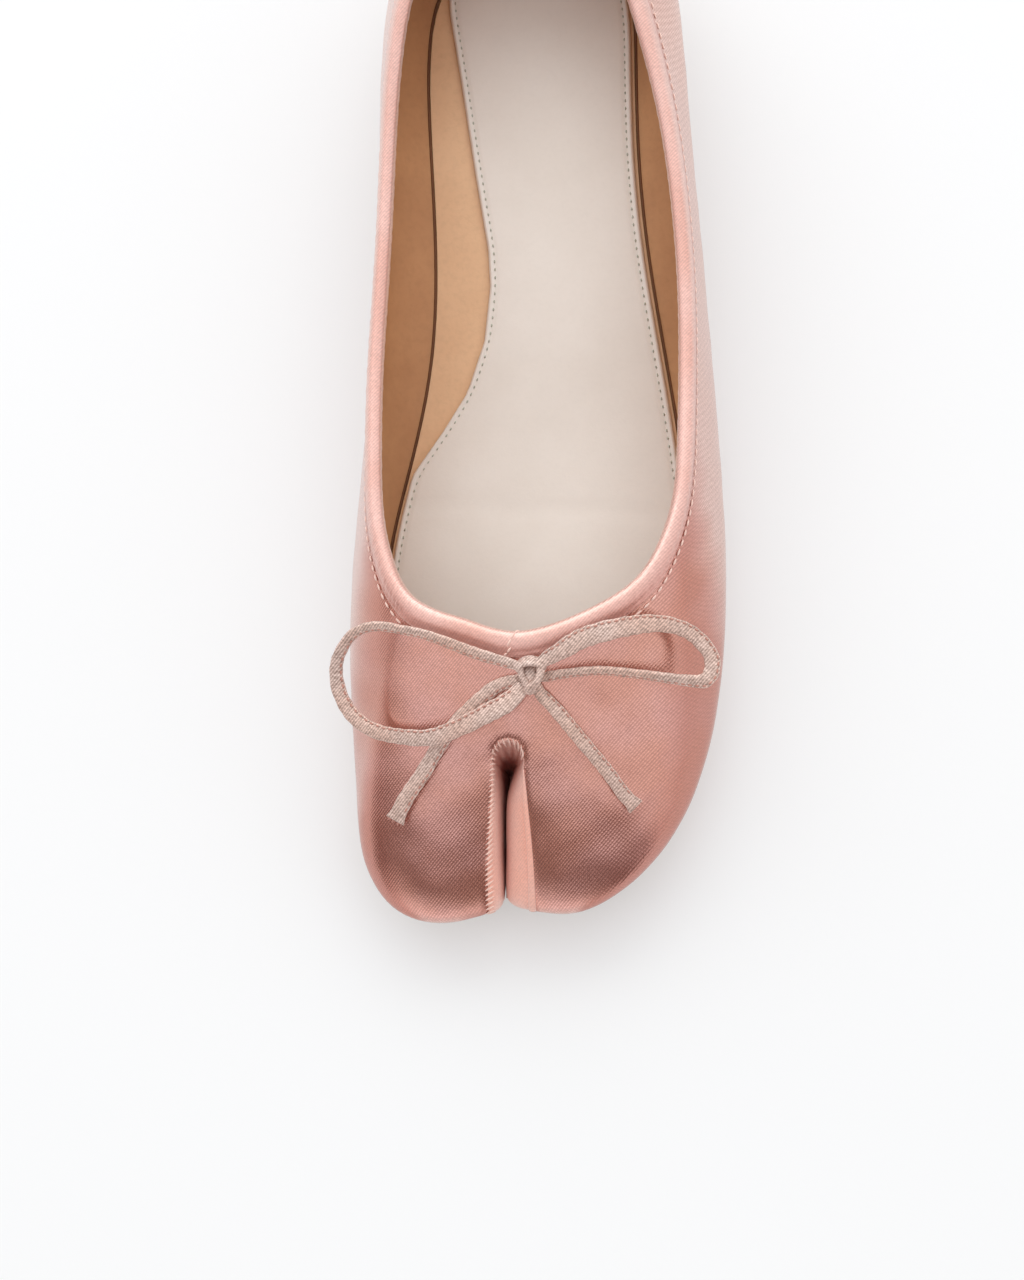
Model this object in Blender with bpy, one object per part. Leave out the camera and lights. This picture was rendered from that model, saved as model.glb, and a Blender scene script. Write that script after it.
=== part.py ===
"""Tabi ballet flat, left shoe, in metres.

The toe points along -Y, +X is the outer (lateral) side and the sole stands on Z = 0.
A split-toe satin upper with a bound collar, a drawstring bow, a split sole and a low heel block.
"""
import bmesh
import bpy
import numpy as np
from mathutils import Vector
from mathutils.bvhtree import BVHTree

# Driving dimensions
SHOE_LENGTH = 0.248
BALL_WIDTH = 0.0876
THROAT_HEIGHT = 0.041

# Sizes that are set by themselves
GAP = 0.0003
UPPER_WALL = 0.0022
BINDING_HEIGHT = 0.0055
BINDING_THICKNESS = 0.0034
SOLE_THICKNESS = 0.0032
SOLE_EDGE = 0.0009
HEEL_HEIGHT = 0.008
TOE_SPRING = 0.0055
INSOLE_THICKNESS = 0.002
INSOLE_CLEARANCE = 0.0006
SOCK_THICKNESS = 0.0016
SOCK_MARGIN = 0.0008
SOCK_TOE_ROUNDING = 0.014
SOLE_EDGE_SOFTENING = 0.0009
HEEL_FRONT_HOLLOW = 0.0035
SLIT_HALF_WIDTH = 0.005
SLIT_LENGTH = 0.0395
SLIT_BOTTOM_GAP = 0.0009
SLIT_LEAN = 0.0022
LIP_ROUNDING = 0.0009
LOBE_DIP = 0.0016
LOBE_DIP_REACH = 0.007
RIBBON_WIDTH = 0.0034
RIBBON_THICKNESS = 0.0019
KNOT_SIZE = (0.0062, 0.0076, 0.0056)

# Steps of the meshes
UPPER_ROWS_AT_SLIT = 9
UPPER_ROWS_PAST_ARCH = 1
UPPER_ROWS_ABOVE_SLIT = 3
COLUMN_SPACING = 0.0085
GUSSET_STEPS = 5
BAND_COLUMNS = 6
LIP_COLUMNS = (0.0, 0.0008, 0.002)
COLUMNS_PAST_LIP = 0
NEAR_COLUMNS = 91
NEAR_REACH = 0.075
SOLE_STATIONS = 18

# The last, as ribs that run from the widest line up to the collar. Columns: name, place of the
# widest line and place of the collar, each as a share of BALL_WIDTH across and of SHOE_LENGTH
# along from the toe. The first rib is the middle of the slit, and they go round by the outer side.
RIBS = (
    ("slit", -0.064, 0.006, -0.041, 0.255),
    ("outer_toe", 0.087, 0.007, 0.066, 0.260),
    ("outer_toe_round", 0.226, 0.029, 0.160, 0.273),
    ("outer_toe_corner", 0.356, 0.077, 0.257, 0.292),
    ("outer_toe_side", 0.450, 0.151, 0.334, 0.321),
    ("outer_ball_front", 0.495, 0.234, 0.390, 0.367),
    ("outer_ball", 0.508, 0.339, 0.418, 0.431),
    ("outer_ball_back", 0.498, 0.427, 0.425, 0.500),
    ("outer_waist_front", 0.477, 0.536, 0.426, 0.573),
    ("outer_waist", 0.454, 0.645, 0.413, 0.649),
    ("outer_heel_front", 0.432, 0.742, 0.380, 0.734),
    ("outer_heel", 0.413, 0.835, 0.322, 0.815),
    ("outer_heel_round", 0.354, 0.927, 0.252, 0.885),
    ("outer_back", 0.200, 0.983, 0.146, 0.940),
    ("back", 0.009, 1.000, -0.009, 0.962),
    ("inner_back", -0.183, 0.983, -0.164, 0.940),
    ("inner_heel_round", -0.337, 0.927, -0.272, 0.885),
    ("inner_heel", -0.397, 0.835, -0.333, 0.815),
    ("inner_heel_front", -0.406, 0.742, -0.361, 0.734),
    ("inner_waist", -0.410, 0.645, -0.377, 0.649),
    ("inner_waist_front", -0.422, 0.548, -0.392, 0.573),
    ("inner_ball_back", -0.452, 0.452, -0.402, 0.500),
    ("inner_ball", -0.478, 0.371, -0.401, 0.431),
    ("inner_ball_front", -0.492, 0.290, -0.390, 0.371),
    ("inner_toe_side", -0.490, 0.210, -0.356, 0.325),
    ("inner_toe_edge", -0.475, 0.125, -0.315, 0.298),
    ("inner_toe_corner", -0.445, 0.052, -0.263, 0.282),
    ("inner_toe_round", -0.361, 0.012, -0.205, 0.273),
    ("inner_toe", -0.215, 0.000, -0.144, 0.266),
)

# Heights and tucks along the shoe. Columns: share of SHOE_LENGTH from the toe, collar height and
# height of the widest line as shares of THROAT_HEIGHT, tuck-in down to the sole on the outer and
# on the inner side as shares of BALL_WIDTH, and straightness of the rib from 0, domed, to 1.
HEIGHTS = (
    (0.00, 1.00, 0.37, 0.042, 0.042, 0.62),
    (0.12, 1.00, 0.35, 0.050, 0.045, 0.64),
    (0.26, 1.00, 0.37, 0.062, 0.052, 0.68),
    (0.38, 0.96, 0.40, 0.080, 0.066, 0.78),
    (0.50, 0.95, 0.46, 0.100, 0.112, 0.84),
    (0.60, 0.97, 0.54, 0.132, 0.130, 0.84),
    (0.72, 1.03, 0.62, 0.140, 0.112, 0.84),
    (0.84, 1.16, 0.66, 0.122, 0.090, 0.82),
    (0.94, 1.33, 0.66, 0.096, 0.084, 0.80),
    (1.00, 1.40, 0.66, 0.084, 0.084, 0.80),
)

# Underside of the sole along the shoe, as shares of SHOE_LENGTH from the toe
FLAT_FRONT = 0.17
FLAT_BACK = 0.38
HEEL_SEAT_FRONT = 0.74
HEEL_BREAST = 0.765

# Inner edge of the sock. Columns: share of SHOE_LENGTH from the toe, share of BALL_WIDTH across
SOCK_FRONT = 0.20
SOCK_CUT_IN = (
    (0.395, -0.405),
    (0.438, -0.330),
    (0.473, -0.258),
    (0.510, -0.190),
    (0.558, -0.142),
    (0.609, -0.124),
    (0.645, -0.128),
    (0.727, -0.165),
    (0.814, -0.202),
    (0.880, -0.232),
    (0.935, -0.240),
)

# The bow. Columns: share of BALL_WIDTH across from the knot, share of SHOE_LENGTH along from
# the knot towards the toe, and height as a share of THROAT_HEIGHT. A ribbon that would be lower
# than the upper lies on it.
KNOT_PLACE = (0.018, 0.2145)
BOW_LOOP_MEDIAL = (
    (-0.040, -0.008, 1.06),
    (-0.135, -0.018, 1.09),
    (-0.251, -0.034, 1.10),
    (-0.323, -0.041, 1.08),
    (-0.398, -0.046, 1.045),
    (-0.459, -0.041, 0.99),
    (-0.498, -0.025, 0.93),
    (-0.511, -0.009, 0.88),
    (-0.502, 0.011, 0.84),
    (-0.468, 0.031, 0.825),
    (-0.410, 0.045, 0.84),
    (-0.334, 0.052, 0.89),
    (-0.259, 0.054, 0.94),
    (-0.184, 0.046, 0.975),
    (-0.110, 0.034, 1.00),
    (-0.066, 0.026, 1.00),
    (-0.036, 0.017, 1.00),
)
BOW_LOOP_LATERAL = (
    (0.040, -0.012, 1.06),
    (0.080, -0.019, 1.085),
    (0.146, -0.031, 1.10),
    (0.253, -0.041, 1.07),
    (0.336, -0.044, 1.02),
    (0.405, -0.038, 0.95),
    (0.452, -0.022, 0.89),
    (0.461, -0.008, 0.87),
    (0.442, 0.004, 0.87),
    (0.388, 0.004, 0.89),
    (0.285, 0.000, 0.95),
    (0.179, -0.003, 1.00),
    (0.085, -0.001, 0.99),
    (0.040, 0.001, 0.97),
)
BOW_TAIL_MEDIAL = (
    (-0.038, 0.004, 0.5),
    (-0.078, 0.007, 0.5),
    (-0.113, 0.014, 0.5),
    (-0.189, 0.037, 0.5),
    (-0.241, 0.058, 0.5),
    (-0.288, 0.083, 0.5),
    (-0.334, 0.104, 0.5),
    (-0.368, 0.124, 0.5),
)
BOW_TAIL_LATERAL = (
    (0.022, 0.0155, 0.5),
    (0.061, 0.030, 0.5),
    (0.122, 0.056, 0.5),
    (0.183, 0.082, 0.5),
    (0.224, 0.102, 0.5),
    (0.256, 0.114, 0.5),
)

# Finishes. Columns: base colour, roughness
FINISHES = {
    "pink_satin": ((0.80, 0.44, 0.38), 0.38),
    "pink_binding": ((0.84, 0.50, 0.44), 0.34),
    "pink_ribbon": ((0.84, 0.52, 0.46), 0.36),
    "tan_leather": ((0.52, 0.30, 0.16), 0.55),
    "cream_leather": ((0.74, 0.68, 0.58), 0.50),
    "sole_leather": ((0.30, 0.24, 0.14), 0.60),
    "heel_leather": ((0.34, 0.24, 0.14), 0.50),
}

SIDE_STEP = 1e-4
UNDER_REACH = 1.9


def periodic_curve(knots, values):
    """Closed cubic curve through the values at knots that cover 0..1, as a function of 0..1."""
    knots = np.asarray(knots)
    values = np.asarray(values)
    count = len(knots)
    spans = np.diff(np.append(knots, 1.0))
    system = np.zeros((count, count))
    right = np.zeros(count)
    for here in range(count):
        before = (here - 1) % count
        after = (here + 1) % count
        system[here, before] += spans[before]
        system[here, here] += 2.0 * (spans[before] + spans[here])
        system[here, after] += spans[here]
        rise_after = (values[after] - values[here]) / spans[here]
        rise_before = (values[here] - values[before]) / spans[before]
        right[here] = 6.0 * (rise_after - rise_before)
    bends = np.linalg.solve(system, right)

    def curve(place):
        place = np.mod(place, 1.0)
        index = np.searchsorted(knots, place, side="right") - 1
        after = (index + 1) % count
        span = spans[index]
        b = (place - knots[index]) / span
        a = 1.0 - b
        bent = ((a ** 3 - a) * bends[index] + (b ** 3 - b) * bends[after]) * span ** 2 / 6.0
        return a * values[index] + b * values[after] + bent

    return curve


def smooth_step(value):
    value = np.clip(value, 0.0, 1.0)
    return value * value * (3.0 - 2.0 * value)


def sole_under(along):
    """Height of the outsole's underside, at a distance from the toe."""
    share = np.asarray(along) / SHOE_LENGTH
    front = np.clip((FLAT_FRONT - share) / FLAT_FRONT, 0.0, None)
    back = smooth_step((share - FLAT_BACK) / (HEEL_SEAT_FRONT - FLAT_BACK))
    return TOE_SPRING * front ** 2 + (HEEL_HEIGHT + GAP) * back


def sole_top(along):
    return sole_under(along) + SOLE_THICKNESS


def feather_height(along):
    """Height at which the upper ends, just above the outsole."""
    return sole_top(along) + GAP


class Last:
    """The smooth outer surface of the shoe, as a function of a place round it and up it.

    round_place goes 0..1 from the slit by the outer side; up_place is -1 at the feather line,
    0 at the widest line and 1 at the top of the collar.
    """

    def __init__(self):
        across = np.array([rib[1] for rib in RIBS]) * BALL_WIDTH
        along = np.array([rib[2] for rib in RIBS]) * SHOE_LENGTH
        top_across = np.array([rib[3] for rib in RIBS]) * BALL_WIDTH
        top_along = np.array([rib[4] for rib in RIBS]) * SHOE_LENGTH
        steps = np.hypot(np.diff(np.append(across, across[0])), np.diff(np.append(along, along[0])))
        self.knots = np.concatenate(([0.0], np.cumsum(steps)[:-1])) / steps.sum()
        self.girth = steps.sum()
        stations = np.array([row[0] for row in HEIGHTS]) * SHOE_LENGTH

        def by_length(column, at, unit):
            return np.interp(at, stations, [row[column] * unit for row in HEIGHTS])

        outer_side = smooth_step(across / BALL_WIDTH * 2.0 + 0.5)
        tuck_outer = by_length(3, along, BALL_WIDTH)
        tuck_inner = by_length(4, along, BALL_WIDTH)
        columns = {
            "across": across,
            "along": along,
            "top_across": top_across,
            "top_along": top_along,
            "top_height": by_length(1, top_along, THROAT_HEIGHT),
            "wide_height": by_length(2, along, THROAT_HEIGHT),
            "tuck": tuck_inner + (tuck_outer - tuck_inner) * outer_side,
            "straightness": by_length(5, along, 1.0),
        }
        self.curves = {}
        for name, values in columns.items():
            self.curves[name] = periodic_curve(self.knots, values)

    def base(self, round_place, up_place):
        """Points of the outer surface, before the lobes are rounded towards the slit."""
        round_place, up_place = np.broadcast_arrays(round_place, up_place)
        got = {name: curve(round_place) for name, curve in self.curves.items()}
        ahead = self.curves["across"](round_place + SIDE_STEP) - self.curves["across"](round_place - SIDE_STEP)
        beside = self.curves["along"](round_place + SIDE_STEP) - self.curves["along"](round_place - SIDE_STEP)
        size = np.hypot(ahead, beside)
        inward_across = -beside / size
        inward_along = ahead / size

        under = np.clip(-up_place, 0.0, None)
        tucked = got["tuck"] * under ** 2.2
        low = feather_height(got["along"] + inward_along * got["tuck"])
        low_across = got["across"] + inward_across * tucked
        low_along = got["along"] + inward_along * tucked
        low_height = got["wide_height"] - (got["wide_height"] - low) * under

        angle = np.clip(up_place, 0.0, None) * np.pi / 2.0
        run = 1.0 - np.cos(angle)
        rise = (1.0 - got["straightness"]) * np.sin(angle) + got["straightness"] * run
        high_across = got["across"] + (got["top_across"] - got["across"]) * run
        high_along = got["along"] + (got["top_along"] - got["along"]) * run
        high_height = got["wide_height"] + (got["top_height"] - got["wide_height"]) * rise

        below = up_place < 0.0
        return np.stack([
            np.where(below, low_across, high_across),
            np.where(below, low_along, high_along),
            np.where(below, low_height, high_height),
        ], axis=-1)

    def normal(self, round_place, up_place):
        sideways = self.base(round_place + 1e-3, up_place) - self.base(round_place - 1e-3, up_place)
        upward = self.base(round_place, up_place + 4e-3) - self.base(round_place, up_place - 4e-3)
        normal = np.cross(sideways, upward)
        return normal / np.linalg.norm(normal, axis=-1, keepdims=True)

    def skin(self, round_place, up_place, depth):
        """Points at a depth under the outer surface, with the lobes rounded towards the slit."""
        points = self.base(round_place, up_place)
        sunk = lip_sink(points)
        normal = self.normal(round_place, up_place)
        return points - normal * (depth + sunk)[..., None]

    def middle(self, along):
        """Across place of the slit's middle line."""
        share = (along - RIBS[0][2] * SHOE_LENGTH) / ((RIBS[0][4] - RIBS[0][2]) * SHOE_LENGTH)
        return (RIBS[0][1] + (RIBS[0][3] - RIBS[0][1]) * share) * BALL_WIDTH


LAST = Last()
GIRTH = np.linspace(0.0, 1.0, 2001)
MIDDLE = [(LAST.curves[name](GIRTH).min() + LAST.curves[name](GIRTH).max()) / 2.0
          for name in ("across", "along")]
ARCH_PLACE = RIBS[0][2] * SHOE_LENGTH + SLIT_LENGTH - SLIT_HALF_WIDTH


def lip_sink(points):
    """How far the surface sinks near the slit: a small rounding at the lip and a broad dip."""
    aside = np.abs(points[..., 0] - LAST.middle(points[..., 1]))
    behind = np.clip(points[..., 1] - ARCH_PLACE, 0.0, None)
    distance = np.clip(np.hypot(aside, behind) - SLIT_HALF_WIDTH, 0.0, None)
    rounding = LIP_ROUNDING * np.clip(1.0 - distance / 0.002, 0.0, 1.0) ** 2
    fade = smooth_step(1.0 - (points[..., 1] - ARCH_PLACE) / (2.0 * SLIT_HALF_WIDTH))
    return rounding + LOBE_DIP * np.exp(-(distance / LOBE_DIP_REACH) ** 2) * fade


def up_places(round_places, shares):
    """Up places at shares of the way from the feather line to just under the binding."""
    dense = np.linspace(-1.0, 1.0, 161)
    result = np.zeros((len(round_places), len(shares)))
    for index, round_place in enumerate(round_places):
        points = LAST.base(round_place, dense)
        steps = np.linalg.norm(np.diff(points, axis=0), axis=1)
        lengths = np.concatenate(([0.0], np.cumsum(steps)))
        usable = lengths[-1] - BINDING_HEIGHT - GAP
        result[index] = np.interp(np.asarray(shares) * usable, lengths, dense)
    return result


def top_places(round_places, below_top):
    """Up places at a distance below the top of the collar."""
    dense = np.linspace(-0.2, 1.0, 161)
    result = np.zeros(len(round_places))
    for index, round_place in enumerate(round_places):
        points = LAST.base(round_place, dense)
        steps = np.linalg.norm(np.diff(points, axis=0), axis=1)
        lengths = np.concatenate(([0.0], np.cumsum(steps)))
        result[index] = np.interp(lengths[-1] - below_top, lengths, dense)
    return result


def row_shares():
    """Shares of the rows of the upper: up to the slit's arch, then above it."""
    dense = np.linspace(-1.0, 1.0, 401)
    points = LAST.base(0.0, dense)
    steps = np.linalg.norm(np.diff(points, axis=0), axis=1)
    lengths = np.concatenate(([0.0], np.cumsum(steps)))
    usable = lengths[-1] - BINDING_HEIGHT - GAP
    front = points[:, 1]
    arch = lengths[np.argmax((front > ARCH_PLACE) & (dense > 0.0))] / usable
    past = lengths[np.argmax((front > ARCH_PLACE + SLIT_HALF_WIDTH + 0.0036) & (dense > 0.0))] / usable
    lower = arch * (np.arange(UPPER_ROWS_AT_SLIT + 1) / UPPER_ROWS_AT_SLIT) ** 1.12
    middle = np.linspace(arch, past, UPPER_ROWS_PAST_ARCH + 1)[1:]
    upper = np.linspace(past, 1.0, UPPER_ROWS_ABOVE_SLIT + 1)[1:]
    return np.concatenate((lower, middle, upper))


def ground_column(round_place, row_place, depth):
    """One column of the upper at a constant place round it; the inner skin ends flat below."""
    points = LAST.skin(np.full(len(row_place), round_place), row_place, depth)
    if depth > 0.0:
        dense = np.linspace(-UNDER_REACH, -0.3, 120)
        low = LAST.skin(np.full(len(dense), round_place), dense, depth)
        above = low[:, 2] - feather_height(low[:, 1])
        points[0] = [np.interp(0.0, above, low[:, axis]) for axis in range(3)]
    points[0, 2] = feather_height(points[0, 1])
    return points


class NearSlit:
    """The skin on both sides of the slit, for columns that follow the slit's edge."""

    def __init__(self, shares, depth):
        self.places = np.linspace(-NEAR_REACH, NEAR_REACH, NEAR_COLUMNS)
        rows = up_places(self.places, shares)
        columns = [ground_column(place, rows[index], depth) for index, place in enumerate(self.places)]
        self.points = np.stack(columns)
        self.aside = self.points[..., 0] - LAST.middle(self.points[..., 1])

    def column(self, offset, towards=0.0, share=0.0):
        """A column at a set distance from the slit's middle line, or part of the way to a place."""
        rows = self.points.shape[1]
        points = np.zeros((rows, 3))
        for row in range(rows):
            place = np.interp(offset, self.aside[:, row], self.places)
            place += (towards - place) * share
            points[row] = [np.interp(place, self.places, self.points[:, row, axis]) for axis in range(3)]
        points[0, 2] = feather_height(points[0, 1])
        return points


def arch_point(across, along, depth):
    """The point of a skin over a place in plan, near the slit's arch."""
    place = np.array([0.0, 0.6])
    target = np.array([across, along])
    step = 1e-3

    def plan(where):
        return LAST.skin(np.array(where[0]), np.array(where[1]), depth)

    for _ in range(12):
        here = plan(place)
        side = (plan(place + [step, 0.0]) - here)[:2] / step
        up = (plan(place + [0.0, step]) - here)[:2] / step
        place = place + np.linalg.solve(np.stack([side, up], axis=1), target - here[:2])
    return plan(place)


def round_places():
    """Places round the upper for its plain columns, from the outer toe rib to the inner one."""
    knots = LAST.knots[1:]
    places = []
    for start, end in zip(knots[:-1], knots[1:]):
        pieces = max(1, int(np.ceil((end - start) * LAST.girth / COLUMN_SPACING)))
        places.extend(np.linspace(start, end, pieces, endpoint=False))
    places.append(knots[-1])
    return np.array(places)


def gusset_strip(lips, mouth_along, end_along, half_gap, arch_from, arch_to):
    """Points of the walls inside the slit, from each point of the lip down to the sole."""
    lips = np.asarray(lips)
    steps = np.linalg.norm(np.diff(lips, axis=0), axis=1)
    climb = np.concatenate(([0.0], np.cumsum(steps)))
    apex = len(lips) // 2
    strip = []
    for index, lip in enumerate(lips):
        way = climb[index] if index <= apex else climb[-1] - climb[index]
        side = 1.0 if index < apex else -1.0
        if arch_from <= index <= arch_to:
            turn = np.pi * (index - arch_from) / (arch_to - arch_from)
            along = end_along + half_gap * np.sin(turn)
            aside = half_gap * np.cos(turn)
        else:
            along = mouth_along + (end_along - mouth_along) * way / climb[arch_from]
            aside = half_gap * side
        bottom = np.array([LAST.middle(along) - SLIT_LEAN + aside, along, feather_height(along)])
        share = np.linspace(0.0, 1.0, GUSSET_STEPS + 1)[1:]
        quick = 1.0 - (1.0 - share) ** 3
        slow = share ** 1.5
        ease = smooth_step(way / climb[apex] * 1.4 - 0.25)
        row = np.zeros((GUSSET_STEPS, 3))
        row[:, 0] = lip[0] + (bottom[0] - lip[0]) * quick
        row[:, 1] = lip[1] + (bottom[1] - lip[1]) * (slow + (quick - slow) * ease)
        row[:, 2] = lip[2] + (bottom[2] - lip[2]) * slow
        if index in (0, len(lips) - 1):
            row[:, 2] = feather_height(row[:, 1])
        strip.append(row)
    return np.array(strip)


class Skin:
    """One skin of the upper: grid of columns, band behind the arch and the slit's walls."""

    def __init__(self, depth):
        self.depth = depth
        lip = SLIT_HALF_WIDTH + depth
        shares = row_shares()
        self.arch_row = UPPER_ROWS_AT_SLIT
        self.top_row = len(shares) - 1
        past = self.arch_row + UPPER_ROWS_PAST_ARCH
        near = NearSlit(shares, depth)
        plain = round_places()
        rows = up_places(plain, shares)
        steps = np.arange(1, COLUMNS_PAST_LIP + 1) / (COLUMNS_PAST_LIP + 1.0)
        furthest = lip + LIP_COLUMNS[-1]
        columns = [near.column(lip + beyond) for beyond in LIP_COLUMNS]
        columns += [near.column(furthest, plain[0], step) for step in steps]
        columns += [ground_column(place, rows[index], depth) for index, place in enumerate(plain)]
        columns += [near.column(-furthest, plain[-1] - 1.0, step) for step in reversed(steps)]
        columns += [near.column(-lip - beyond) for beyond in reversed(LIP_COLUMNS)]
        self.columns = np.array(columns)

        self.band = np.zeros((BAND_COLUMNS - 1, self.top_row - self.arch_row + 1, 3))
        offsets = np.cos(np.pi * np.arange(1, BAND_COLUMNS) / BAND_COLUMNS) * lip
        front = (self.columns[0, self.arch_row, 1] + self.columns[-1, self.arch_row, 1]) / 2.0
        for index, offset in enumerate(offsets):
            self.band[index] = near.column(offset)[self.arch_row:]
            along = front + np.sqrt(lip ** 2 - offset ** 2)
            start = np.array([LAST.middle(along) + offset, along])
            end = self.band[index, past - self.arch_row, :2]
            for row in range(UPPER_ROWS_PAST_ARCH):
                place = start + (end - start) * row / UPPER_ROWS_PAST_ARCH
                self.band[index, row] = arch_point(place[0], place[1], depth)

        outer_lip = self.columns[0, :self.arch_row + 1]
        inner_lip = self.columns[-1, :self.arch_row + 1][::-1]
        self.lips = np.concatenate([outer_lip, self.band[:, 0], inner_lip])
        mouth = self.columns[0, 0, 1] + 0.0006
        self.strip = gusset_strip(self.lips, mouth, ARCH_PLACE - 0.0005, SLIT_BOTTOM_GAP + depth,
                                  self.arch_row, self.arch_row + BAND_COLUMNS)

    def vertices(self):
        """All points in a fixed order, with the index of each, so that two skins can be joined."""
        points = []
        grid = np.zeros(self.columns.shape[:2], dtype=int)
        for column in range(self.columns.shape[0]):
            for row in range(self.columns.shape[1]):
                grid[column, row] = len(points)
                points.append(self.columns[column, row])
        band = np.zeros(self.band.shape[:2], dtype=int)
        for column in range(self.band.shape[0]):
            for row in range(self.band.shape[1]):
                band[column, row] = len(points)
                points.append(self.band[column, row])
        strip = np.zeros(self.strip.shape[:2], dtype=int)
        for column in range(self.strip.shape[0]):
            for row in range(self.strip.shape[1]):
                strip[column, row] = len(points)
                points.append(self.strip[column, row])
        return points, grid, band, strip


def skin_faces(skin, grid, band, strip):
    """Faces of one skin, all turned the same way, and its two open edges as vertex lists."""
    faces = []
    for column in range(grid.shape[0] - 1):
        for row in range(grid.shape[1] - 1):
            faces.append((grid[column, row], grid[column + 1, row],
                          grid[column + 1, row + 1], grid[column, row + 1]))
    wide_band = np.vstack([grid[-1, skin.arch_row:], band[::-1], grid[0, skin.arch_row:]])
    for column in range(wide_band.shape[0] - 1):
        for row in range(wide_band.shape[1] - 1):
            faces.append((wide_band[column, row], wide_band[column + 1, row],
                          wide_band[column + 1, row + 1], wide_band[column, row + 1]))
    path = list(grid[0, :skin.arch_row + 1]) + list(band[:, 0])
    path += list(grid[-1, :skin.arch_row + 1][::-1])
    walls = np.column_stack([path, strip])
    for column in range(walls.shape[0] - 1):
        for row in range(walls.shape[1] - 1):
            faces.append((walls[column, row], walls[column + 1, row],
                          walls[column + 1, row + 1], walls[column, row + 1]))
    under = list(grid[:, 0]) + list(walls[-1, 1:]) + list(walls[1:-1, -1][::-1]) + list(walls[0, 1:][::-1])
    collar = list(grid[:, -1]) + list(band[::-1, -1])
    return faces, under, collar


def join_rings(first, second):
    """Faces between two closed rings of vertices with the same count."""
    count = len(first)
    return [(first[i], first[(i + 1) % count], second[(i + 1) % count], second[i]) for i in range(count)]


def shell_mesh():
    """The upper: outer skin, inner skin and the edges between them."""
    outer = Skin(0.0)
    inner = Skin(UPPER_WALL)
    points, grid, band, strip = outer.vertices()
    outer_faces, outer_under, outer_collar = skin_faces(outer, grid, band, strip)
    inner_points, grid, band, strip = inner.vertices()
    inner_faces, inner_under, inner_collar = skin_faces(inner, grid, band, strip)
    shift = len(points)
    points = points + inner_points
    faces = list(outer_faces)
    faces += [tuple(vertex + shift for vertex in reversed(face)) for face in inner_faces]
    inner_under = [vertex + shift for vertex in inner_under]
    inner_collar = [vertex + shift for vertex in inner_collar]
    faces += join_rings(inner_under, outer_under)
    faces += join_rings(outer_collar, inner_collar)
    return points, faces, outer, inner


def edge_loop(skin):
    """Plan places of a skin's lower edge, in the same order as its ring of vertices."""
    loop = list(skin.columns[:, 0, :2])
    loop += list(skin.strip[-1, :, :2])
    loop += list(skin.strip[1:-1, -1, :2][::-1])
    loop += list(skin.strip[0, :, :2][::-1])
    return np.array(loop)


def level_loop(skin, height):
    """Plan places where a skin passes a height above its lower edge, all the way round."""

    def crossing(line):
        above = line[:, 2] - feather_height(line[:, 1])
        for start in range(len(line) - 1):
            if (above[start] - height) * (above[start + 1] - height) <= 0.0 and above[start] != above[start + 1]:
                share = (height - above[start]) / (above[start + 1] - above[start])
                return (line[start] + (line[start + 1] - line[start]) * share)[:2]
        return None

    loop = [crossing(column) for column in skin.columns]
    walls = np.concatenate([skin.lips[:, None], skin.strip], axis=1)
    inside = []
    for index in range(1, len(walls) - 1):
        if walls[index, 0, 2] - feather_height(walls[index, 0, 1]) > height * 1.3:
            inside.append(crossing(walls[index]))
    loop += [place for place in reversed(inside) if place is not None]
    return np.array(loop)


def pushed(loop, distance):
    """A closed plan loop moved outwards by a distance, which may differ along it."""
    ahead = np.roll(loop, -1, axis=0) - np.roll(loop, 1, axis=0)
    outward = np.stack([ahead[:, 1], -ahead[:, 0]], axis=1)
    outward /= np.linalg.norm(outward, axis=1, keepdims=True)
    return loop + outward * np.reshape(distance, (-1, 1))


def stacked_solid(loops, heights, floor, stations=SOLE_STATIONS):
    """A flat piece from plan loops at heights, cut at stations and laid on a floor function."""
    mesh = bmesh.new()
    rings = []
    for loop, height in zip(loops, heights):
        rings.append([mesh.verts.new((place[0], place[1], height)) for place in loop])
    count = len(rings[0])
    for low, high in zip(rings[:-1], rings[1:]):
        for i in range(count):
            j = (i + 1) % count
            mesh.faces.new((low[i], low[j], high[j], high[i]))
    mesh.faces.new(list(reversed(rings[0])))
    mesh.faces.new(rings[-1])
    for station in np.linspace(0.016, 0.92, stations) * SHOE_LENGTH:
        geometry = list(mesh.verts) + list(mesh.edges) + list(mesh.faces)
        bmesh.ops.bisect_plane(mesh, geom=geometry, dist=1e-6, plane_co=(0.0, station, 0.0),
                               plane_no=(0.0, 1.0, 0.0))
    bmesh.ops.triangulate(mesh, faces=list(mesh.faces))
    for vertex in mesh.verts:
        vertex.co.z += float(floor(vertex.co.y))
    points = [tuple(vertex.co) for vertex in mesh.verts]
    mesh.verts.index_update()
    faces = [tuple(vertex.index for vertex in face.verts) for face in mesh.faces]
    mesh.free()
    return points, faces


def outsole(outer):
    edge = edge_loop(outer)
    columns = len(outer.columns)
    push = np.full(len(edge), GAP)
    push[4:columns - 4] = SOLE_EDGE
    full = pushed(edge, push)
    soft = SOLE_EDGE_SOFTENING
    loops = (pushed(full, -soft), pushed(full, -soft / 3.0), full, full, pushed(full, -soft / 3.0))
    thickness = SOLE_THICKNESS
    heights = (0.0, soft * 0.55, soft * 1.3, thickness - soft * 0.55, thickness)
    return stacked_solid(loops, heights, sole_under)


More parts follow.
